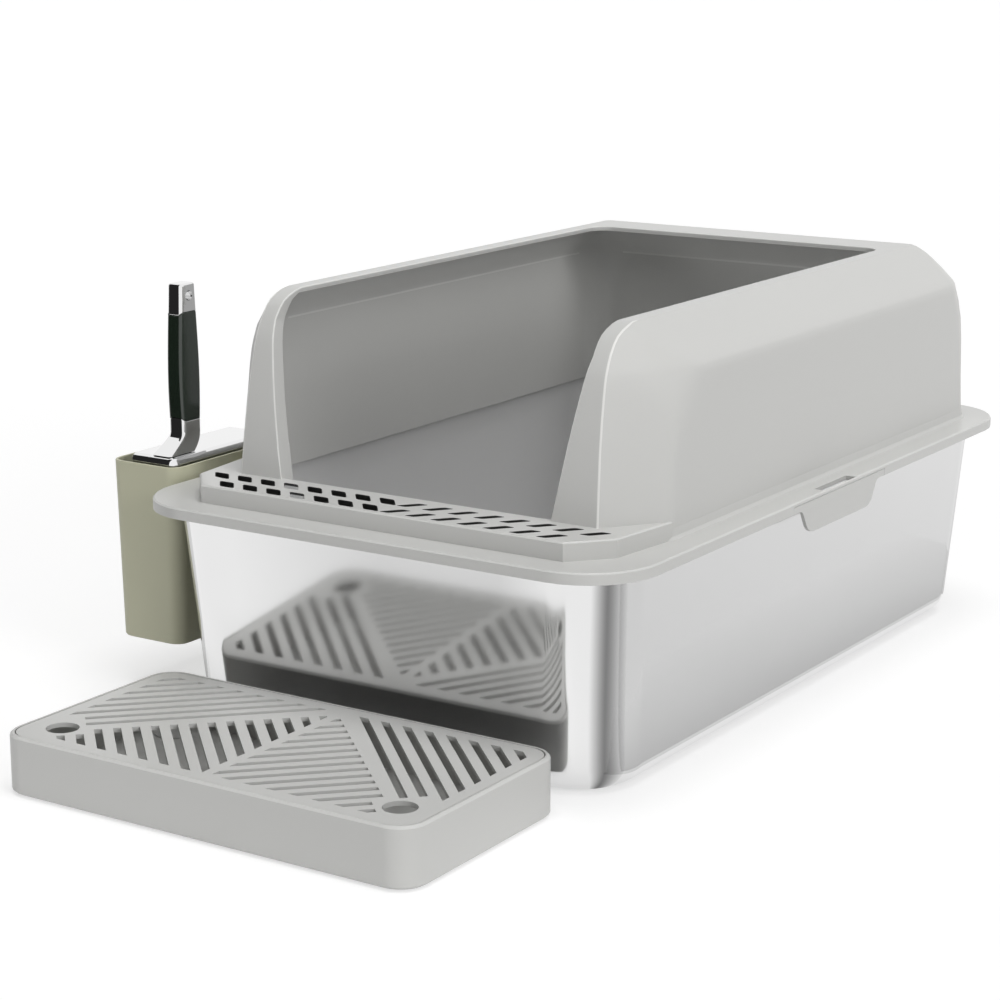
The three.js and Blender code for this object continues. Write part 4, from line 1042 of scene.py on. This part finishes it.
def film(name, corners, clear, axis="X", run=(0.0, 1.0), glow=0.0):
    """Tinted film that only reflections see; its clearness changes along a run of one axis."""
    bm = bmesh.new()
    bm.faces.new([bm.verts.new(corner) for corner in corners])
    made = mesh_object(name, bm)
    material, tinted, light = glowing_material(name, "ShaderNodeBsdfTransparent")
    light.inputs["Strength"].default_value = glow
    tree = material.node_tree
    split = tree.nodes.new("ShaderNodeSeparateXYZ")
    tree.links.new(tree.nodes.new("ShaderNodeTexCoord").outputs["Object"], split.inputs[0])
    ramp = shader_node(tree, "ShaderNodeMapRange", From_Min=run[0], From_Max=run[1], To_Min=clear[0],
                       To_Max=clear[1])
    tree.links.new(split.outputs[axis], ramp.inputs["Value"])
    tree.links.new(ramp.outputs["Result"], tinted.inputs["Color"])
    made.data.materials.append(material)
    made.visible_camera = False
    made.visible_diffuse = False
    made.visible_shadow = False
    made.visible_transmission = False


def white_rays(tree):
    """Whether a ray is seen by the camera or in a reflection, and doesn't light a matte surface."""
    path = tree.nodes.new("ShaderNodeLightPath")
    seen = maths(tree, "MAXIMUM", path.outputs["Is Camera Ray"], path.outputs["Is Glossy Ray"])
    seen = maths(tree, "MAXIMUM", seen, path.outputs["Is Transmission Ray"])
    return maths(tree, "MULTIPLY", seen, maths(tree, "LESS_THAN", path.outputs["Diffuse Depth"],
                                               NO_MATTE_BOUNCE))


def stage_world(settings):
    """World that is white where it is seen and soft where it lights."""
    world = bpy.data.worlds.new("Studio")
    bpy.context.scene.world = world
    world.use_nodes = True
    tree = world.node_tree
    tree.nodes.clear()
    dim = shader_node(tree, "ShaderNodeBackground", Color=WHITE, Strength=settings.ambient)
    white = shader_node(tree, "ShaderNodeBackground", Color=WHITE, Strength=1.0)
    mixed = tree.nodes.new("ShaderNodeMixShader")
    out = tree.nodes.new("ShaderNodeOutputWorld")
    tree.links.new(white_rays(tree), mixed.inputs[0])
    tree.links.new(dim.outputs[0], mixed.inputs[1])
    tree.links.new(white.outputs[0], mixed.inputs[2])
    tree.links.new(mixed.outputs[0], out.inputs["Surface"])


def stage_floor(settings):
    """Pale floor that runs out of sight and keeps a soft shadow."""
    bm = bmesh.new()
    bmesh.ops.create_grid(bm, x_segments=2, y_segments=2, size=FLOOR_HALF)
    floor = mesh_object("studio_floor", bm)
    material, matte, light = glowing_material("Studio floor", "ShaderNodeBsdfDiffuse")
    tree = material.node_tree
    seen = white_rays(tree)
    dimming = maths(tree, "MULTIPLY", seen, settings.floor - settings.seen_floor)
    tree.links.new(maths(tree, "SUBTRACT", settings.floor, dimming), matte.inputs["Color"])
    tree.links.new(maths(tree, "MULTIPLY", seen, settings.floor_glow), light.inputs["Strength"])
    floor.data.materials.append(material)


def stage_camera(settings):
    """Camera at the photograph's place."""
    data = bpy.data.cameras.new("Camera")
    data.lens = settings.lens
    data.sensor_width = SENSOR_WIDTH
    data.clip_end = VIEW_END
    camera = fresh_object("Camera", data)
    camera.location = CAMERA_PLACE
    aim(camera, settings.azimuth, settings.elevation)
    bpy.context.scene.camera = camera


def corner_films():
    """Wedges that the pan's front right corner reflects: ever darker, and then clearer again."""
    place = (PAN_HIGH.x - WEDGE_INSET, PAN_LOW.y + WEDGE_INSET)
    first, darkest, last = WEDGE_TURNS
    for turn in range(first, last, WEDGE_WIDTH):
        end = first if turn < darkest else last
        rise = (turn - darkest) / (end - darkest)
        clear = WEDGE_CLEAR + WEDGE_GAIN * rise ** WEDGE_CURVE
        film(f"corner_film_{turn}", wedge(place, (turn, turn + WEDGE_WIDTH)), (clear, clear))


class LITTER_OT_stage(bpy.types.Operator):
    """Sets the floor, the lamps, the reflected cards and the camera"""
    bl_idname = "litter_box.stage"
    bl_label = "Stage"
    bl_options = {"REGISTER", "UNDO"}

    def execute(self, context):
        settings = context.scene.litter_box.stage
        stage_world(settings)
        stage_floor(settings)
        stage_camera(settings)
        sun("Key", settings.key, azimuth=73, elevation=40, softness=32)
        sun("Side", settings.side, azimuth=73, elevation=18, softness=20)
        sun("Fill", settings.fill, azimuth=30, elevation=40, softness=40)
        sun("Front", settings.front, azimuth=-20, elevation=8, softness=24)
        sun("Top", settings.top, azimuth=90, elevation=82, softness=40)
        film("dark_card", upright(left=-0.75, right=-0.215, y=-0.36, low=0.1, high=1.2), clear=(0.02, 0.02))
        film("light_card", upright(left=-0.206, right=-0.166, y=-0.175, low=0.19, high=0.3),
             clear=(0.0, 0.0), glow=0.4)
        film("front_film", upright(left=-0.2, right=FRONT_SPLIT, **FRONT_FILM), clear=(1.0, FRONT_CLEAR),
             run=(-0.12, 0.0))
        film("front_end", upright(left=FRONT_SPLIT, right=0.13, **FRONT_FILM), clear=(FRONT_CLEAR, 1.0),
             run=(FRONT_SPLIT, 0.125))
        for name, side in (("foot_right", 1), ("foot_left", -1)):
            left, right = sorted((side * FOOT_START, side * FOOT_END))
            film(name, flat(left, right, front=-0.26, back=0.4, height=0.0014), clear=(0.8, 1.0),
                 run=(side * PAN_SIDE, side * FOOT_END))
        corner_films()
        for name, side in (("side_film", 1), ("left_film", -1)):
            left, right = sorted((side * PAN_SIDE, side * SIDE_REACH))
            film(name, flat(left, right, SIDE_START, FLOOR_REACH, SIDE_FILM_HEIGHT), clear=(0.74, 0.92),
                 axis="Y", run=(0.0, 0.9))
        film("back_film", flat(-PAN_SIDE, PAN_SIDE, BACK_START, FLOOR_REACH, SIDE_FILM_HEIGHT),
             clear=(0.7, 0.92), axis="Y", run=(0.3, 1.2))
        context.scene.view_settings.view_transform = "Standard"
        return {"FINISHED"}


class LITTER_PT_panel(bpy.types.Panel):
    """Lists the set's pieces and their settings"""
    bl_idname = "LITTER_PT_panel"
    bl_label = "Litter box"
    bl_space_type = "VIEW_3D"
    bl_region_type = "UI"
    bl_category = "Litter box"

    def draw(self, context):
        settings = context.scene.litter_box
        groups = ((settings.pan, LITTER_OT_pan), (settings.guard, LITTER_OT_guard),
                  (settings.holder, LITTER_OT_holder), (settings.scoop, LITTER_OT_scoop),
                  (settings.step, LITTER_OT_step), (settings.stage, LITTER_OT_stage))
        for values, operator in groups:
            box = self.layout.box()
            box.operator(operator.bl_idname)
            for name in values.bl_rna.properties.keys():
                if name not in {"rna_type", "name"}:
                    box.prop(values, name)


CLASSES = (PanSettings, GuardSettings, HolderSettings, ScoopSettings, StepSettings, StageSettings,
           LitterBoxSettings, LITTER_OT_pan, LITTER_OT_guard, LITTER_OT_holder, LITTER_OT_scoop,
           LITTER_OT_step, LITTER_OT_stage, LITTER_PT_panel)


def register():
    """Adds the classes and the scene's settings."""
    for made in CLASSES:
        bpy.utils.register_class(made)
    bpy.types.Scene.litter_box = bpy.props.PointerProperty(
        type=LitterBoxSettings, name="Litter box", description="Settings of the litter box set")


def unregister():
    """Removes what register added."""
    del bpy.types.Scene.litter_box
    for made in reversed(CLASSES):
        bpy.utils.unregister_class(made)


def main():
    """Builds the set."""
    register()
    bpy.ops.litter_box.stage()
    bpy.ops.litter_box.pan()
    bpy.ops.litter_box.guard()
    bpy.ops.litter_box.holder()
    bpy.ops.litter_box.scoop()
    bpy.ops.litter_box.step()


if __name__ == "__main__":
    main()
